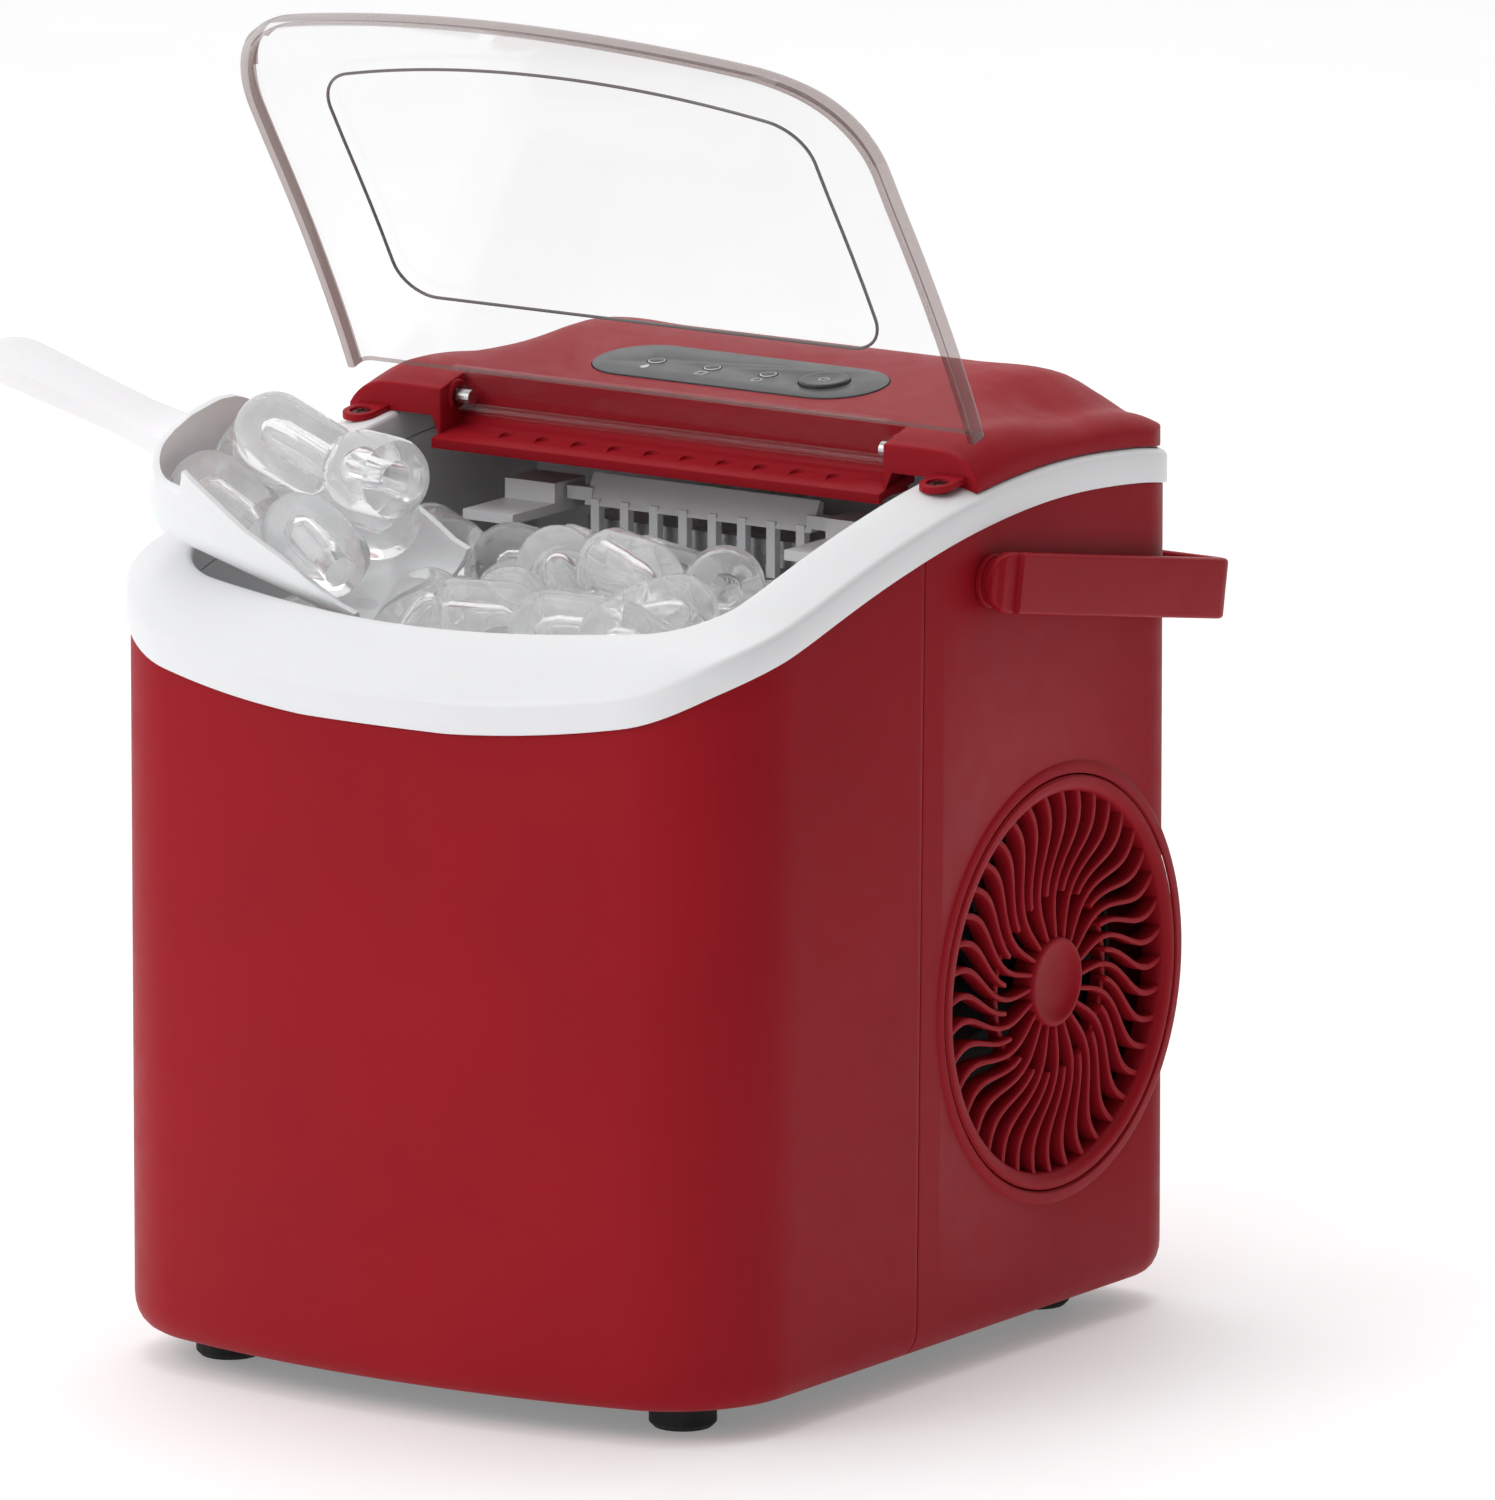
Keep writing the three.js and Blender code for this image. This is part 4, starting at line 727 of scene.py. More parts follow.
def ring_sign(name, x, y, height, gap):
    """A thin ring with a break at its top."""
    ring = rod(name, "z", x, y, 1.7, height, height + SIGN_T, PRINT, 40)
    inside = rod("hole", "z", x, y, 1.3, height - 1, height + 1, steps=40)
    opening = block("opening", (x - gap, x + gap), (y, y + 3), (height - 1, height + 1))
    return combine(ring, [inside, opening])


def signs():
    """Plain signs under the lamps and on the button: a drop, a cube, a broken ring and a power ring
    with a bar.
    """
    base = PANEL_PROUD
    drop = arc(LAMPS_X[0], SIGN_Y - 0.5, 1.3, 150, 390, 16) + [(LAMPS_X[0], SIGN_Y + 2.1)]
    printed(prism("sign_drop", "z", drop, base, base + SIGN_T, PRINT))
    x = LAMPS_X[1]
    cube = block("sign_cube", (x - 1.6, x + 1.6), (SIGN_Y - 1.6, SIGN_Y + 1.6),
                 (base, base + SIGN_T), PRINT)
    inside = block("hole", (x - 1.2, x + 1.2), (SIGN_Y - 1.2, SIGN_Y + 1.2), (base - 1, base + 1))
    printed(combine(cube, [inside]))
    printed(ring_sign("sign_power", LAMPS_X[2], SIGN_Y, base, 0.4))
    printed(ring_sign("sign_on_off", BUTTON_X, 0, KEY_TOP, 0.8), "power_button")
    bar = block("sign_bar", (BUTTON_X - 0.22, BUTTON_X + 0.22), (0.3, 2.0),
                (KEY_TOP, KEY_TOP + SIGN_T), PRINT)
    printed(bar, "power_button")


def lamp_ring(name, x):
    """A bright ring round a darker lens."""
    rows = [(1.75, 0), (1.75, 0.12), (2.0, 0.22), (2.45, 0.22), (2.6, 0.1), (2.6, 0)]
    rings = [[(x + r * math.cos(a), r * math.sin(a), PANEL_PROUD + 0.02 + z)
              for a in turn_angles(40)] for r, z in rows]
    ring = ring_loft(name + "_ring", rings, LAMP, closed=True)
    put(on_panel(ring), "housing")


def lamp_lens(name, x, node):
    rows = [(0, -3), (2.5, -3), (2.5, 0.1), (2.2, 0.32), (1.2, 0.42), (0, 0.45)]
    lens = lathe(name + "_dome", rows, BUTTON, 32)
    turn(lens, (0, 0, 0), (x, 0, PANEL_PROUD))
    put(on_panel(lens), "housing", [node])


def control_panel():
    plate = prism("panel_overlay", "z", stadium(PANEL_L, PANEL_W, 32), -1.2, PANEL_PROUD, DARK)
    holes = [rod("hole", "z", BUTTON_X, 0, 7.95, -5, 5)]
    holes += [rod("hole", "z", x, 0, 2.95, -5, 5) for x in LAMPS_X]
    round_edges(combine(plate, holes), 0.35, 3)
    put(on_panel(plate), "housing", ["control_panel"])
    for node, x in zip(("lamp_add_water", "lamp_ice_full", "lamp_power"), LAMPS_X):
        lamp_ring(node, x)
        lamp_lens(node, x, node)
    power_button()
    signs()


def power_button():
    """A dished round key."""
    rows = [(0, -3), (7.6, -3), (7.6, 0.9), (7.3, 1.3), (6.8, 1.42), (5.8, 1.3), (3, 1.1),
            (0, 1.05)]
    key = lathe("power_key", rows, BUTTON, 64)
    turn(key, (0, 0, 0), (BUTTON_X, 0, 0))
    put(on_panel(key), "power_button", ["power_button"])


# ---------------------------------------------------------------- lid
LID_FOOT = RIM_H + RIM_RISE * (LID_INSET + WALL) / RIM_W + 2 * GAP


def lid_outline(inset, front=64, corner=28, side=16):
    """The right half of the lid's plan outline from the middle of its front to its back."""
    full = plan_outline(inset, front, corner, side)
    half = full[front // 2:front + corner + side]
    points = [p for p in half if p[1] < LID_REAR_Y - 0.5]
    flat = HALF_W - inset
    start = points[-1][1]
    steps = 24
    points += [(flat, start + (LID_REAR_Y - start) * i / steps) for i in range(1, steps + 1)]
    return points


LID_COLUMNS = 16


def lid_rows(inset, rise):
    """One skin of the lid's sheet: rows across it from side to side."""
    rows = []
    for x, y in lid_outline(inset):
        z = edge_z(y) + rise
        rows.append([(x * (2 * i / LID_COLUMNS - 1), y, z) for i in range(LID_COLUMNS + 1)])
    return rows


def lid_section():
    """The lid's edge from the sheet's inside round the skirt to its top, as [inset, rise]."""
    top = LID_TOP
    inner = LID_INSET + LID_SHEET
    rows = [(inner + 3.2, top - LID_SHEET), (inner + 1.3, top - LID_SHEET - 0.4),
            (inner + 0.3, top - LID_SHEET - 1.3), (inner, top - LID_SHEET - 2.6),
            (inner, LID_FOOT + 0.4), (inner - 0.4, LID_FOOT), (LID_INSET + 0.4, LID_FOOT),
            (LID_INSET, LID_FOOT + 0.4), (LID_INSET, top - 3.4), (LID_INSET + 0.4, top - 1.8),
            (LID_INSET + 1.4, top - 0.6), (LID_INSET + 3.2, top)]
    return rows


def lid_sheet():
    """The clear moulding, as it lies closed: two skins joined round their edge."""
    verts = []
    faces = []
    across = LID_COLUMNS + 1
    inner = lid_rows(lid_section()[0][0], lid_section()[0][1])
    outer = lid_rows(lid_section()[-1][0], lid_section()[-1][1])
    for rows in (inner, outer):
        base = len(verts)
        verts += [p for row in rows for p in row]
        for a, b, c, d in grid_faces(len(rows), across):
            faces.append((base + a, base + b, base + c, base + d))
    loops = []
    for inset, rise in lid_section():
        right = [(x, y, edge_z(y) + rise) for x, y in lid_outline(inset)]
        left = [(-x, y, z) for x, y, z in reversed(right)]
        loops.append(left + right[1:])
    base = len(verts)
    verts += [p for loop in loops for p in loop]
    count = len(loops[0])
    for a, b, c, d in grid_faces(len(loops), count):
        faces.append((base + a, base + b, base + c, base + d))
    lid = make("lid_sheet", verts, faces, CLEAR)
    close_holes(lid)
    smoke_skirt(lid)
    return lid


def smoke_skirt(piece):
    """The skirt and the rolled edge are thicker, so they look smoky."""
    piece.data.materials.append(SMOKE)
    for face in piece.data.polygons:
        face.material_index = 0 if abs(face.normal.z) > 0.6 else 1


def close_holes(piece):
    """Fills the open back edge of the lid between its two skins."""
    built = bmesh.new()
    built.from_mesh(piece.data)
    rim_edges = [e for e in built.edges if e.is_boundary]
    bmesh.ops.holes_fill(built, edges=rim_edges)
    bmesh.ops.recalc_face_normals(built, faces=built.faces)
    built.to_mesh(piece.data)
    built.free()
    soften(piece.data)


WINDOW_INSET = 27.0


def window_groove():
    """The fine line moulded round the clear window, as a thin ridge on the lid's underside."""
    path = []
    half = [p for p in lid_outline(WINDOW_INSET, 64, 28) if p[1] < -16]
    loop = half + rear_turn(half[-1])
    loop += [(-x, y) for x, y in reversed(loop)]
    for x, y in loop:
        path.append((x, y, edge_z(y) + LID_TOP - LID_SHEET - 0.15))
    return tube_loop("lid_window_line", path, 0.5, LINE)


def rear_turn(last):
    """Rounds the window's back corner and runs in towards the middle."""
    x, y = last
    r = 12
    turned = arc(x - r, y, r, 0, 90, 10)[1:]
    return turned + [(x - r - (x - r) * i / 12, y + r) for i in range(1, 12)]


def tube_loop(name, path, r, look, sides=8):
    """A round bead along a closed path."""
    rings = []
    count = len(path)
    for i in range(count):
        before = Vector(path[i - 1])
        here = Vector(path[i])
        after = Vector(path[(i + 1) % count])
        way = (after - before).normalized()
        out = way.cross(Vector((0, 0, 1))).normalized()
        up = out.cross(way).normalized()
        rings.append([tuple(here + r * (math.cos(a) * out + math.sin(a) * up))
                      for a in turn_angles(sides)])
    return ring_loft(name, rings, look, closed=True)


def lid_tail():
    """The strip that runs back between the brackets and ends in a rolled rail."""
    top = edge_z(LID_REAR_Y) + LID_TOP
    section = [(LID_REAR_Y - 1, top - LID_SHEET), (LID_REAR_Y - 1, top - 0.1)]
    section += arc(HINGE_Y + 3, top - 1.2, 1.2, 90, -90, 10)
    strip = prism("lid_tail", "x", section, -ARM_X, ARM_X, CLEAR)
    return round_edges(strip, 0.4, 2)


def lid_rail():
    """The rounded rail along the back of the lid, clearer than its skirt."""
    top = edge_z(LID_REAR_Y) + LID_TOP
    section = arc(HINGE_Y + 2.4, top - 3.4, 1.9, 0, 345, 23)
    return prism("lid_rail", "x", section, -ARM_X, ARM_X, RAIL)


def lid_arm(side, name):
    """One hinge arm: an eye round the pin and a web up to the sheet."""
    inner = ARM_X - 5
    low, high = sorted((side * ARM_X, side * inner))
    top = edge_z(LID_REAR_Y) + LID_TOP
    outline = arc(HINGE_Y, HINGE_Z, 4.5, -20, -200, 18)
    outline += [(LID_REAR_Y - 6, HINGE_Z + 1), (LID_REAR_Y - 6, top - 1), (HINGE_Y + 3, top - 1)]
    arm = prism("lid_arm_" + name, "x", outline, low, high, RAIL)
    bore = rod("bore", "x", HINGE_Y, HINGE_Z, 2.7, low - 2, high + 2, steps=40)
    return round_edges(combine(arm, [bore]), 0.4, 2)


def open_lid(piece):
    """Swings a piece made in the closed place up to the lid's open stop."""
    piece.data.transform(Matrix.Translation(Vector((0, -HINGE_Y, -HINGE_Z)) * MM))
    return turn(piece, (-LID_OPEN, 0, 0), (0, HINGE_Y, HINGE_Z))


def lid():
    sheet = lid_sheet()
    pieces = [sheet, window_groove(), lid_tail(), lid_rail()]
    pieces += [lid_arm(-1, "left"), lid_arm(1, "right")]
    for piece in pieces:
        put(open_lid(piece), "lid")
    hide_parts("lid")


# ---------------------------------------------------------------- carry handle
ARM_IN = HALF_W + 4.2
CROSS_Y = HALF_D + RIM_PROUD + 3.6
STRAP_LEN = (CROSS_Y + STRAP_T - PIVOT_Y) / math.cos(math.radians(STRAP_DROOP))
BEND_R = 9.0


def strap_path():
    """Stations along the bent strap: middle point, outward direction and half-height."""
    stations = []
    reach = STRAP_H / 2
    for i in range(13):
        y = -reach * math.cos(math.radians(7.5 * i))
        tall = math.sqrt(max(reach * reach - y * y, 0.16))
        stations.append((ARM_IN, y, 1, 0, tall, lip_thickness(y)))
    stations.append((ARM_IN, 2.4, 1, 0, reach, STRAP_T - 1.6))
    stations.append((ARM_IN, 2.9, 1, 0, reach, STRAP_T))
    inner_r = BEND_R - STRAP_T
    straight_end = STRAP_LEN - BEND_R
    stations += [(ARM_IN, straight_end * t, 1, 0, reach, STRAP_T) for t in (0.3, 0.6, 0.9, 1)]
    for i in range(1, 13):
        a = math.radians(90 * i / 12)
        x = ARM_IN - inner_r + inner_r * math.cos(a)
        y = straight_end + inner_r * math.sin(a)
        stations.append((x, y, math.cos(a), math.sin(a), reach, STRAP_T))
    stations.append((0, straight_end + inner_r, 0, 1, reach, STRAP_T))
    return stations


def lip_thickness(y):
    """The strap's eye steps down in two rings in front of its pivot."""
    return STRAP_T - 1.6 if y > -5 else STRAP_T - 2.8


def strap_ring(x, y, nx, ny, tall, thick):
    """A rounded rectangle across the strap."""
    r = min(1.2, tall * 0.4)
    ring = []
    for cx, cz, start in ((thick - r, tall - r, 0), (r, tall - r, 90), (r, r - tall, 180),
                          (thick - r, r - tall, 270)):
        for out, z in arc(cx, cz, r, start, start + 90, 4):
            ring.append((x + nx * out, y + ny * out, z))
    return ring


def strap():
    """The bent strap, level about its pivot."""
    half = strap_path()
    other = [(-x, y, -nx, ny, tall, thick) for x, y, nx, ny, tall, thick in reversed(half[:-1])]
    rings = [strap_ring(*station) for station in half + other]
    return ring_loft("carry_strap", rings, RED, caps=True, sharp=40)


def carry_handle():
    loop = turn(strap(), (-STRAP_DROOP, 0, 0), (0, PIVOT_Y, PIVOT_Z))
    put(loop, "carry_handle", ["carry_handle"])
    for side, name in ((-1, "left"), (1, "right")):
        rows = [(0, -8), (5, -8), (5, 0.3), (8, 0.3), (8, 1.5), (7.6, 1.9), (7, 2.0), (7, 3.6),
                (6.6, 3.85), (5, 3.9), (5, 7.5), (0, 7.5)]
        boss = lathe("pivot_collar_" + name, rows, RED, 48)
        turn(boss, (0, side * 90, 0), (side * HALF_W, PIVOT_Y, PIVOT_Z))
        put(boss, "housing", ["handle_pivot_" + name])


# ---------------------------------------------------------------- fan grille
HUB_R = 13.5
BLADES = 40
BLADE_T = 1.9
MID_R = 29.0


def blade(index):
    """One curved blade of the grille; every second one starts at the middle ring."""
    start = HUB_R - 0.5 if index % 2 == 0 else MID_R - 2
    angle = 2 * math.pi * index / BLADES
    steps = 16
    reach = GRILLE_R + 1
    left, right = [], []
    for i in range(steps + 1):
        r = start + (reach - start) * i / steps
        t = (r - HUB_R) / (reach - HUB_R)
        a = angle + 0.09 * math.sin(2 * math.pi * t) - 0.20 * t
        half = (0.75 + 0.35 * t) * BLADE_T / 2 / r
        left.append((GRILLE_Y + r * math.cos(a + half), GRILLE_Z + r * math.sin(a + half)))
        right.append((GRILLE_Y + r * math.cos(a - half), GRILLE_Z + r * math.sin(a - half)))
    piece = prism("blade", "x", right + left[::-1], HALF_W - 7, HALF_W - 1.2, RED)
    return round_edges(piece, 0.5, 2, 40)


def fuse(name, pieces, look):
    """Joins pieces into one object without changing their surfaces."""
    built = bmesh.new()
    for piece in pieces:
        built.from_mesh(piece.data)
        bpy.data.objects.remove(piece)
    mesh = bpy.data.meshes.new(name)
    built.to_mesh(mesh)
    built.free()
    soften(mesh)
    whole = bpy.data.objects.new(name, mesh)
    bpy.context.scene.collection.objects.link(whole)
    mesh.materials.append(look)
    return whole


def side_lathe(name, rows, steps=96):
    """A ring or disc about the grille's axis from (radius, x) rows."""
    rings = [[(HALF_W + x, GRILLE_Y + r * math.cos(a), GRILLE_Z + r * math.sin(a))
              for a in turn_angles(steps)] for r, x in rows]
    return ring_loft(name, rings, RED, closed=True)


def side_grille():
    outer = side_lathe("ring", [(57, -8), (57, -1.2), (57.6, -0.2), (58.6, 0.55), (60, 0.8),
                                (61.2, 0.7), (61.9, 0.1), (62, -8)])
    middle = side_lathe("middle", [(28, -7.4), (28, -3.9), (28.4, -3.5), (29.6, -3.5),
                                   (30, -3.9), (30, -7.4)])
    hub = side_lathe("hub", [(0.01, -7.9), (13.5, -7.9), (13.5, -1.6), (13.1, -0.8), (12.4, -0.5),
                             (11.4, -0.7), (10.6, -1.5), (8, -2.2), (4, -2.5), (0.01, -2.55)])
    pieces = [outer, middle, hub] + [blade(i) for i in range(BLADES)]
    grille = fuse("fan_grille", pieces, RED)
    put(grille, "housing", ["side_grille"])


# ---------------------------------------------------------------- scoop
SCOOP_L = 82.0
SCOOP_W = 58.0
SCOOP_H = 26.0
SCOOP_T = 2.0
SCOOP_HANDLE = 74.0
SCOOP_CORNER_R = 13.0
SCOOP_BACK_R = 11.0
SCOOP_PLACE = (-103.0, -78.0, 243.0)
SCOOP_TURN = (12.0, 16.0, 0.0)


def scoop_hull(name, inset, front, look=None):
    """A trough with rounded bottom corners and a rounded back end."""
    half = SCOOP_W / 2
    tall = SCOOP_H * 2
    r = SCOOP_CORNER_R - inset
    centre = half - SCOOP_CORNER_R
    outline = arc(centre, SCOOP_CORNER_R, r, -90, 0, 12)
    outline += [(half - inset, tall), (-(half - inset), tall)]
    outline += arc(-centre, SCOOP_CORNER_R, r, 180, 270, 12)
    hull = prism(name, "x", outline, inset, front, look)
    built = bmesh.new()
    built.from_mesh(hull.data)
    back = [e for e in built.edges if all(v.co.x < (inset + 0.1) * MM for v in e.verts)]
    back = [e for e in back if any(v.co.z < (tall - 1) * MM for v in e.verts)]
    bmesh.ops.bevel(built, geom=back, offset=(SCOOP_BACK_R - inset) * MM, segments=8,
                    profile=0.5, affect="EDGES", clamp_overlap=True)
    built.to_mesh(hull.data)
    built.free()
    return hull


def scoop_slope():
    """What is cut away above the scoop's sloping sides."""
    half = SCOOP_W / 2 + 5
    tall = SCOOP_H * 2 + 5
    profile = [(SCOOP_H + 8, -8), (SCOOP_H + 7, 7), (SCOOP_H + 1, 20), (SCOOP_H - 7, 40),
               (14, 62), (9.5, 76), (8.5, SCOOP_L + 3), (tall, SCOOP_L + 3), (tall, -8)]
    return prism("slope", "y", profile, -half, half)


def scoop_arch():
    """What is cut away above the arched top of the back wall."""
    half = SCOOP_W / 2
    crown = [(half * t, SCOOP_H + 7.6 - 13 * abs(t) ** 2.6) for t in
             (-1.2, -1, -0.85, -0.7, -0.5, -0.25, 0, 0.25, 0.5, 0.7, 0.85, 1, 1.2)]
    tall = SCOOP_H * 2 + 5
    outline = crown + [(half * 1.2, tall), (-half * 1.2, tall)]
    return prism("arch", "x", outline, -9, 16)


def scoop():
    bowl = scoop_hull("ice_scoop", 0.0, SCOOP_L, SCOOP_WHITE)
    hollow = scoop_hull("hollow", SCOOP_T, SCOOP_L + 5)
    combine(bowl, [hollow, scoop_slope(), scoop_arch()])
    combine(bowl, [scoop_grip()], "UNION")
    round_edges(bowl, 0.7, 3, 40)
    bowl.data.transform(scoop_frame())
    put(bowl, "scoop", ["scoop"])


def scoop_frame():
    """Where the scoop lies: its back wall's foot at its place, dipped and rolled."""
    place = Matrix.Translation(Vector(SCOOP_PLACE) * MM)
    roll = Matrix.Rotation(math.radians(SCOOP_TURN[0]), 4, "X")
    dip = Matrix.Rotation(math.radians(SCOOP_TURN[1]), 4, "Y")
    return place @ dip @ roll


def scoop_grip():
    """The flat handle: waisted where it leaves the bowl, round at its end."""
    end = -SCOOP_HANDLE + 1
    right = [(1.0, 12.5), (-8, 9.2), (-22, 7.6), (-42, 8.2), (-56, 9.0)]
    outline = [(x, -y) for x, y in right] + arc(end + 6, 0, 9.4, 270, 90, 14)
    outline += list(reversed(right))
    return prism("grip", "z", outline, SCOOP_H - 10, SCOOP_H - 3.5)


# ---------------------------------------------------------------- ice
ICE_ACROSS = 5  # bullets in a layer, left to right
ICE_DEEP = 4  # and front to back
ICE_LAYERS = 5
ICE_CROWN = 14  # further bullets on top of the last layer
ICE_PITCH_X = 29  # spacing of the bullets before they settle
ICE_PITCH_Y = 23
ICE_PITCH_Z = 23
ICE_FIRST_Y = -86
ICE_SEED = 7
ICE_BELOW_LID = 5  # room left between the heap and the closed lid
BACK_SLOPE_Y = -45  # behind this the heap falls away from the lid
SINK_FAST = 0.9  # how far a bullet sinks in one step
SINK_SLOW = 0.15
SLOW_STEPS = 60  # the last steps, which sink slowly
PUSH_SHARE = 0.22  # share of an overlap that one step takes out
BASKET_FLOOR = 121.0
BASKET_SIDE = 75.0
BASKET_FRONT = -99.0
BASKET_BACK = -4.0
SETTLE_STEPS = 260

# The scoop's own bullets, in the scoop's frame.
ICE_IN_SCOOP = [
    (19.5, -13.0, 14.6, -0.96, 0.10, 0.18),
    (20.5, 13.2, 14.6, 0.97, 0.12, 0.10),
    (53.0, -13.2, 15.2, -0.93, 0.30, 0.12),
    (55.0, 13.4, 14.8, 0.95, -0.20, 0.05),
    (34.0, -3.0, 37.0, -0.90, -0.25, 0.30),
    (62.0, 1.0, 36.5, -0.80, 0.35, -0.35),
]
ICE_R = 12.2
ICE_HALF = 16.4
ICE_HOLE_R = 4.6


def ice_mesh():
    """A hollow bullet: a round nose, straight sides and a blind hole in its flat end."""
    nose = [(ICE_R * math.cos(a), ICE_HALF - ICE_R + ICE_R * math.sin(a))
            for a in [math.radians(90 - 9 * i) for i in range(11)]]
    foot = [(ICE_R - 0.2, -ICE_HALF + 3), (ICE_R - 0.9, -ICE_HALF + 1), (ICE_R - 2.4, -ICE_HALF)]
    hole = [(ICE_HOLE_R + 0.8, -ICE_HALF), (ICE_HOLE_R, -ICE_HALF + 0.8), (ICE_HOLE_R - 0.4, 2),
            (ICE_HOLE_R - 1.6, 6), (1.2, 7.6), (0, 7.9)]
    bullet = lathe("ice_shape", nose + foot + hole, ICE, 28)
    mesh = bullet.data
    bpy.data.objects.remove(bullet)
    return mesh


def ice_start(draw):
    """Loose layers of bullets above the basket, with their middle lines at random."""
    places, lines = [], []
    for i in range(ICE_ACROSS * ICE_DEEP * ICE_LAYERS + ICE_CROWN):
        layer, spot = divmod(i, ICE_ACROSS * ICE_DEEP)
        column, row = divmod(spot, ICE_DEEP)
        x = (column - 2) * ICE_PITCH_X + draw.uniform(-4, 4)
        y = ICE_FIRST_Y + row * ICE_PITCH_Y + draw.uniform(-3, 3)
        z = BASKET_FLOOR + ICE_R + layer * ICE_PITCH_Z + draw.uniform(-2, 2)
        places.append((x, y, z))
        line = Vector((draw.gauss(0, 1), draw.gauss(0, 1), draw.gauss(0, 0.55)))
        lines.append(line.normalized())
    return numpy.array(places), numpy.array([tuple(line) for line in lines])


def ice_ceiling(x, y):
    """Highest place for a bullet's top: under the closed lid, and under the scoop's floor."""
    lid_line = numpy.array([edge_z(v) for v in y]) + LID_TOP - LID_SHEET - ICE_BELOW_LID
    lid_line -= numpy.clip(y - BACK_SLOPE_Y, 0, None) * 0.5
    slope = math.tan(math.radians(SCOOP_TURN[1]))
    floor_z = SCOOP_PLACE[2] - slope * (x - SCOOP_PLACE[0]) - 1
    under = (x < SCOOP_PLACE[0] + SCOOP_L + 4) & (y < SCOOP_PLACE[1] + SCOOP_W / 2 + 8)
    return numpy.minimum(lid_line, numpy.where(under, floor_z, 300))


def settle(places, lines):
    """Lets the bullets sink and push each other apart, as a ball near each of their ends."""
    reach = ICE_HALF - ICE_R
    count = len(places)
    owner = numpy.concatenate((numpy.arange(count), numpy.arange(count)))
    other = owner[:, None] != owner[None, :]
    for step in range(SETTLE_STEPS):
        places[:, 2] -= SINK_FAST if step < SETTLE_STEPS - SLOW_STEPS else SINK_SLOW
        balls = numpy.concatenate((places + lines * reach, places - lines * reach))
        apart = balls[:, None] - balls[None, :]
        gap = numpy.sqrt((apart ** 2).sum(axis=2)) + 1e-6
        push = numpy.where(other, numpy.clip(2 * ICE_R - gap, 0, None), 0) * PUSH_SHARE
        shift = (apart / gap[:, :, None] * push[:, :, None]).sum(axis=1)
        places += shift[:count] + shift[count:]
        ends = numpy.abs(lines) * reach + ICE_R
        places[:, 0] = numpy.clip(places[:, 0], -BASKET_SIDE + ends[:, 0], BASKET_SIDE - ends[:, 0])
        places[:, 1] = numpy.clip(places[:, 1], BASKET_FRONT + ends[:, 1], BASKET_BACK - ends[:, 1])
        top = ice_ceiling(places[:, 0], places[:, 1]) - ends[:, 2]
        places[:, 2] = numpy.minimum(places[:, 2], top)
        places[:, 2] = numpy.maximum(places[:, 2], BASKET_FLOOR + ends[:, 2])
    return places


def lay_ice(name, shape, rows, body, base=Matrix.Identity(4)):
    for i, (place, line) in enumerate(rows):
        bullet = bpy.data.objects.new(f"{name}_{i + 1:03d}", shape)
        bpy.context.scene.collection.objects.link(bullet)
        spin = Vector((0, 0, 1)).rotation_difference(Vector(line)).to_matrix().to_4x4()
        bullet.matrix_world = base @ Matrix.Translation(Vector(place) * MM) @ spin
        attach(bullet, body)


def ice():
    shape = ice_mesh()
    places, lines = ice_start(random.Random(ICE_SEED))
    heap = zip(settle(places, lines).tolist(), lines.tolist())
    lay_ice("basket_ice", shape, heap, "ice_basket")
    scoopful = [(row[:3], row[3:]) for row in ICE_IN_SCOOP]
    lay_ice("scoop_ice", shape, scoopful, "scoop", scoop_frame())


# ---------------------------------------------------------------- room, light and camera
CAMERA_PLACE = (3.26833, -4.78207, 1.35316)
CAMERA_AZIMUTH = 34.00385
CAMERA_RISE = 11.57241
CAMERA_LENS = 480.0
FLOOR_Z = -0.009


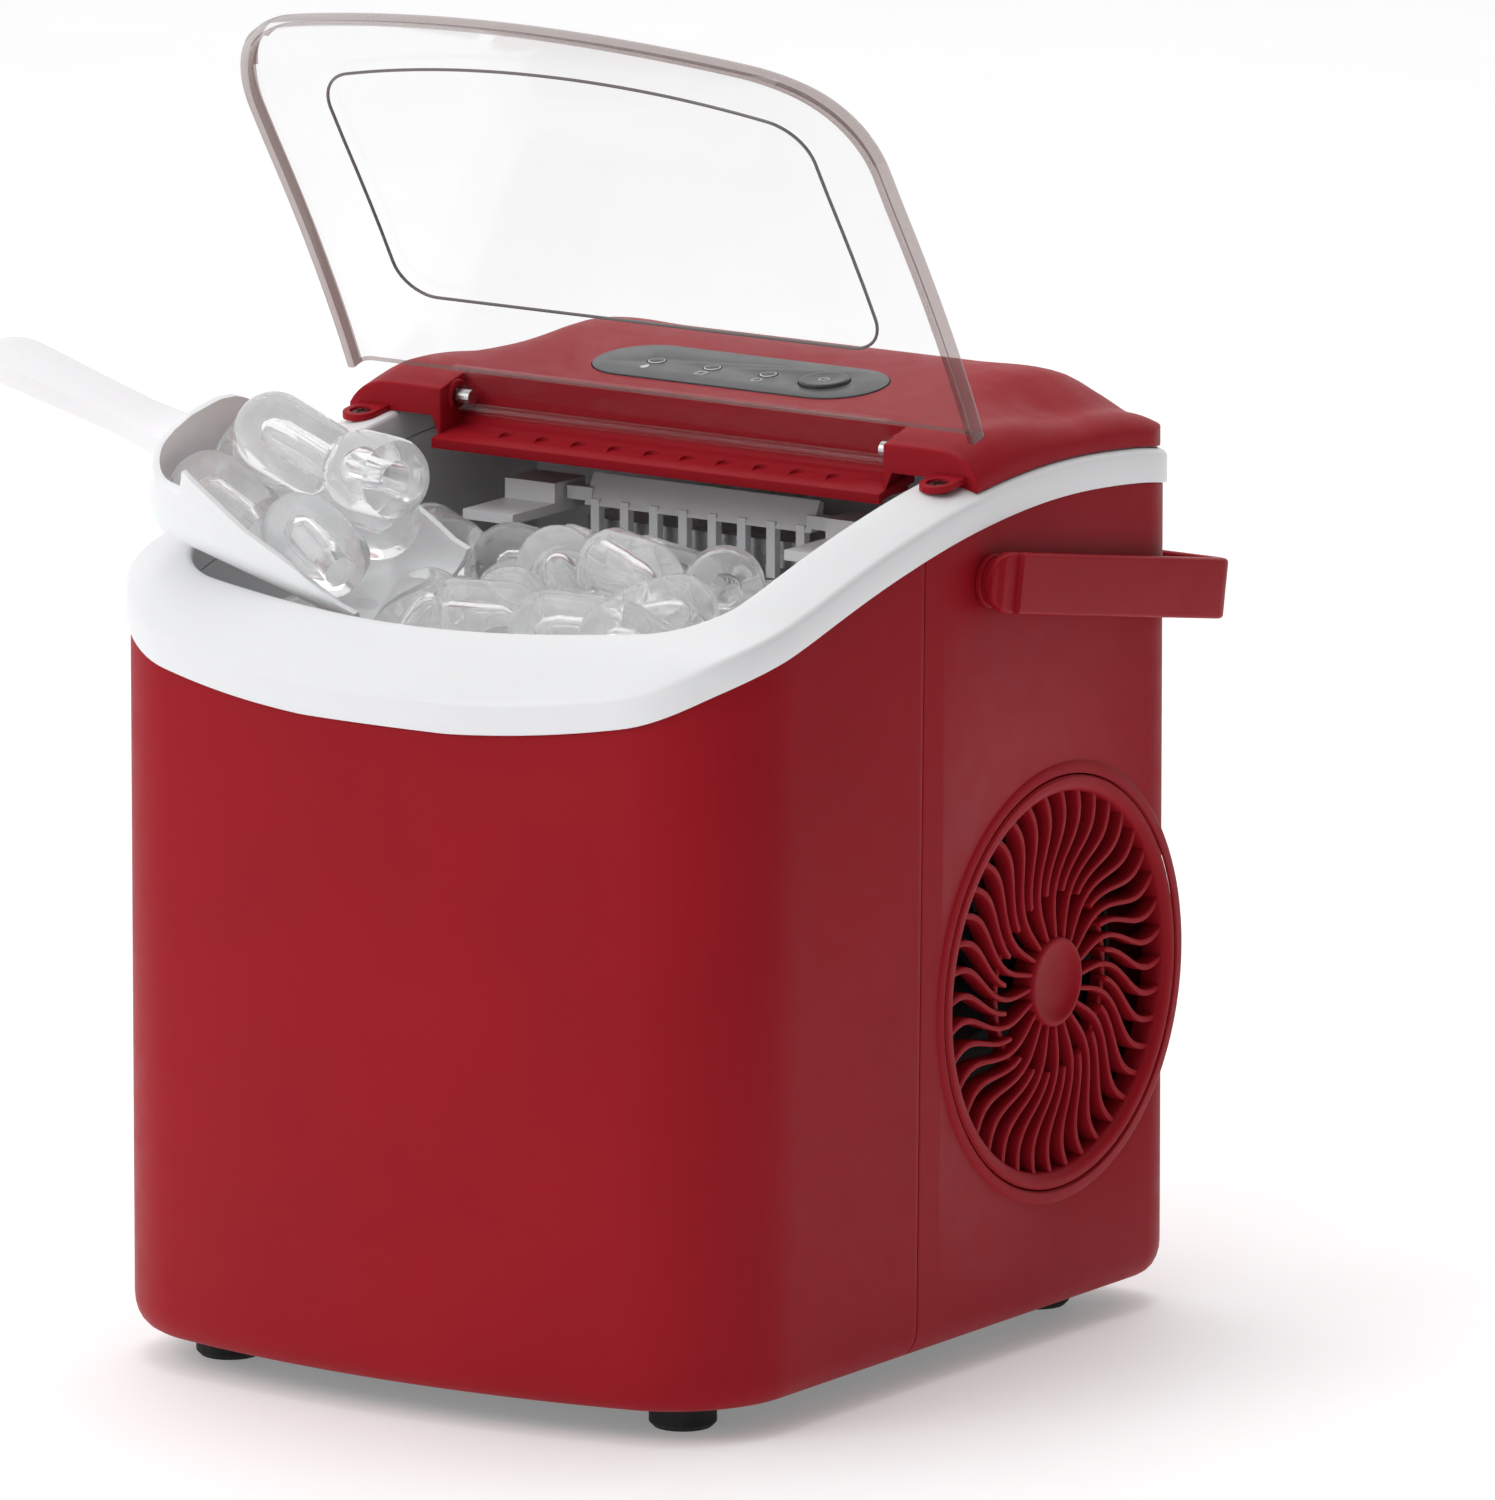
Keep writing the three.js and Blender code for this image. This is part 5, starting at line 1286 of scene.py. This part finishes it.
def camera():
    data = bpy.data.cameras.new("camera")
    data.lens = CAMERA_LENS
    data.sensor_width = 36
    data.clip_end = 50
    view = bpy.data.objects.new("camera", data)
    bpy.context.scene.collection.objects.link(view)
    a = math.radians(CAMERA_AZIMUTH)
    e = math.radians(CAMERA_RISE)
    back = Vector((math.sin(a) * math.cos(e), -math.cos(a) * math.cos(e), math.sin(e)))
    view.location = CAMERA_PLACE
    view.rotation_euler = back.to_track_quat("Z", "Y").to_euler()
    bpy.context.scene.camera = view


def floor():
    look = finish("pale_floor", (0.93, 0.93, 0.935), 0.6, 0.01, Specular_IOR_Level=0.1,
                  Emission_Color=(1, 1, 1, 1), Emission_Strength=0.22)
    half = 40000
    ground = make("floor", [(-half, -half, 0), (half, -half, 0), (half, half, 0),
                            (-half, half, 0)], [(0, 1, 2, 3)], look)
    ground.location.z = FLOOR_Z - 0.0001


def area_light(name, place, aim, size, power):
    data = bpy.data.lights.new(name, "AREA")
    data.shape = "RECTANGLE"
    data.size, data.size_y = size
    data.energy = power
    lamp = bpy.data.objects.new(name, data)
    bpy.context.scene.collection.objects.link(lamp)
    lamp.location = place
    lamp.rotation_euler = (Vector(place) - Vector(aim)).to_track_quat("Z", "Y").to_euler()


def studio():
    """An even white room that is dimmer towards the object's right side."""
    world = bpy.data.worlds.new("studio")
    world.use_nodes = True
    tree = world.node_tree
    backdrop = tree.nodes["Background"]
    coords = tree.nodes.new("ShaderNodeTexCoord")
    split = tree.nodes.new("ShaderNodeSeparateXYZ")
    link(tree, coords, "Generated", split, "Vector")
    shade = tree.nodes.new("ShaderNodeMapRange")
    shade.interpolation_type = "SMOOTHSTEP"
    shade.inputs["From Min"].default_value = -0.1
    shade.inputs["From Max"].default_value = 0.75
    shade.inputs["To Min"].default_value = 0.95
    shade.inputs["To Max"].default_value = 0.16
    link(tree, split, "X", shade, "Value")
    link(tree, shade, "Result", backdrop, "Strength")
    backdrop.inputs["Color"].default_value = (1, 1, 1, 1)
    bpy.context.scene.world = world


def lights():
    studio()
    middle = (0, 0, 0.15)
    area_light("key", (-0.9, -2.0, 1.7), middle, (1.1, 1.1), 9)
    area_light("top", (-0.2, 0.3, 2.4), middle, (1.5, 1.5), 16)
    bpy.context.scene.view_settings.view_transform = "Standard"


# ---------------------------------------------------------------- everything
camera()
floor()
lights()
dress_cad_nodes()
shells()
grille_surround()
rim()
top_cover()
trough()
hinge_rings()
control_panel()
lid()
carry_handle()
side_grille()
scoop()
ice()
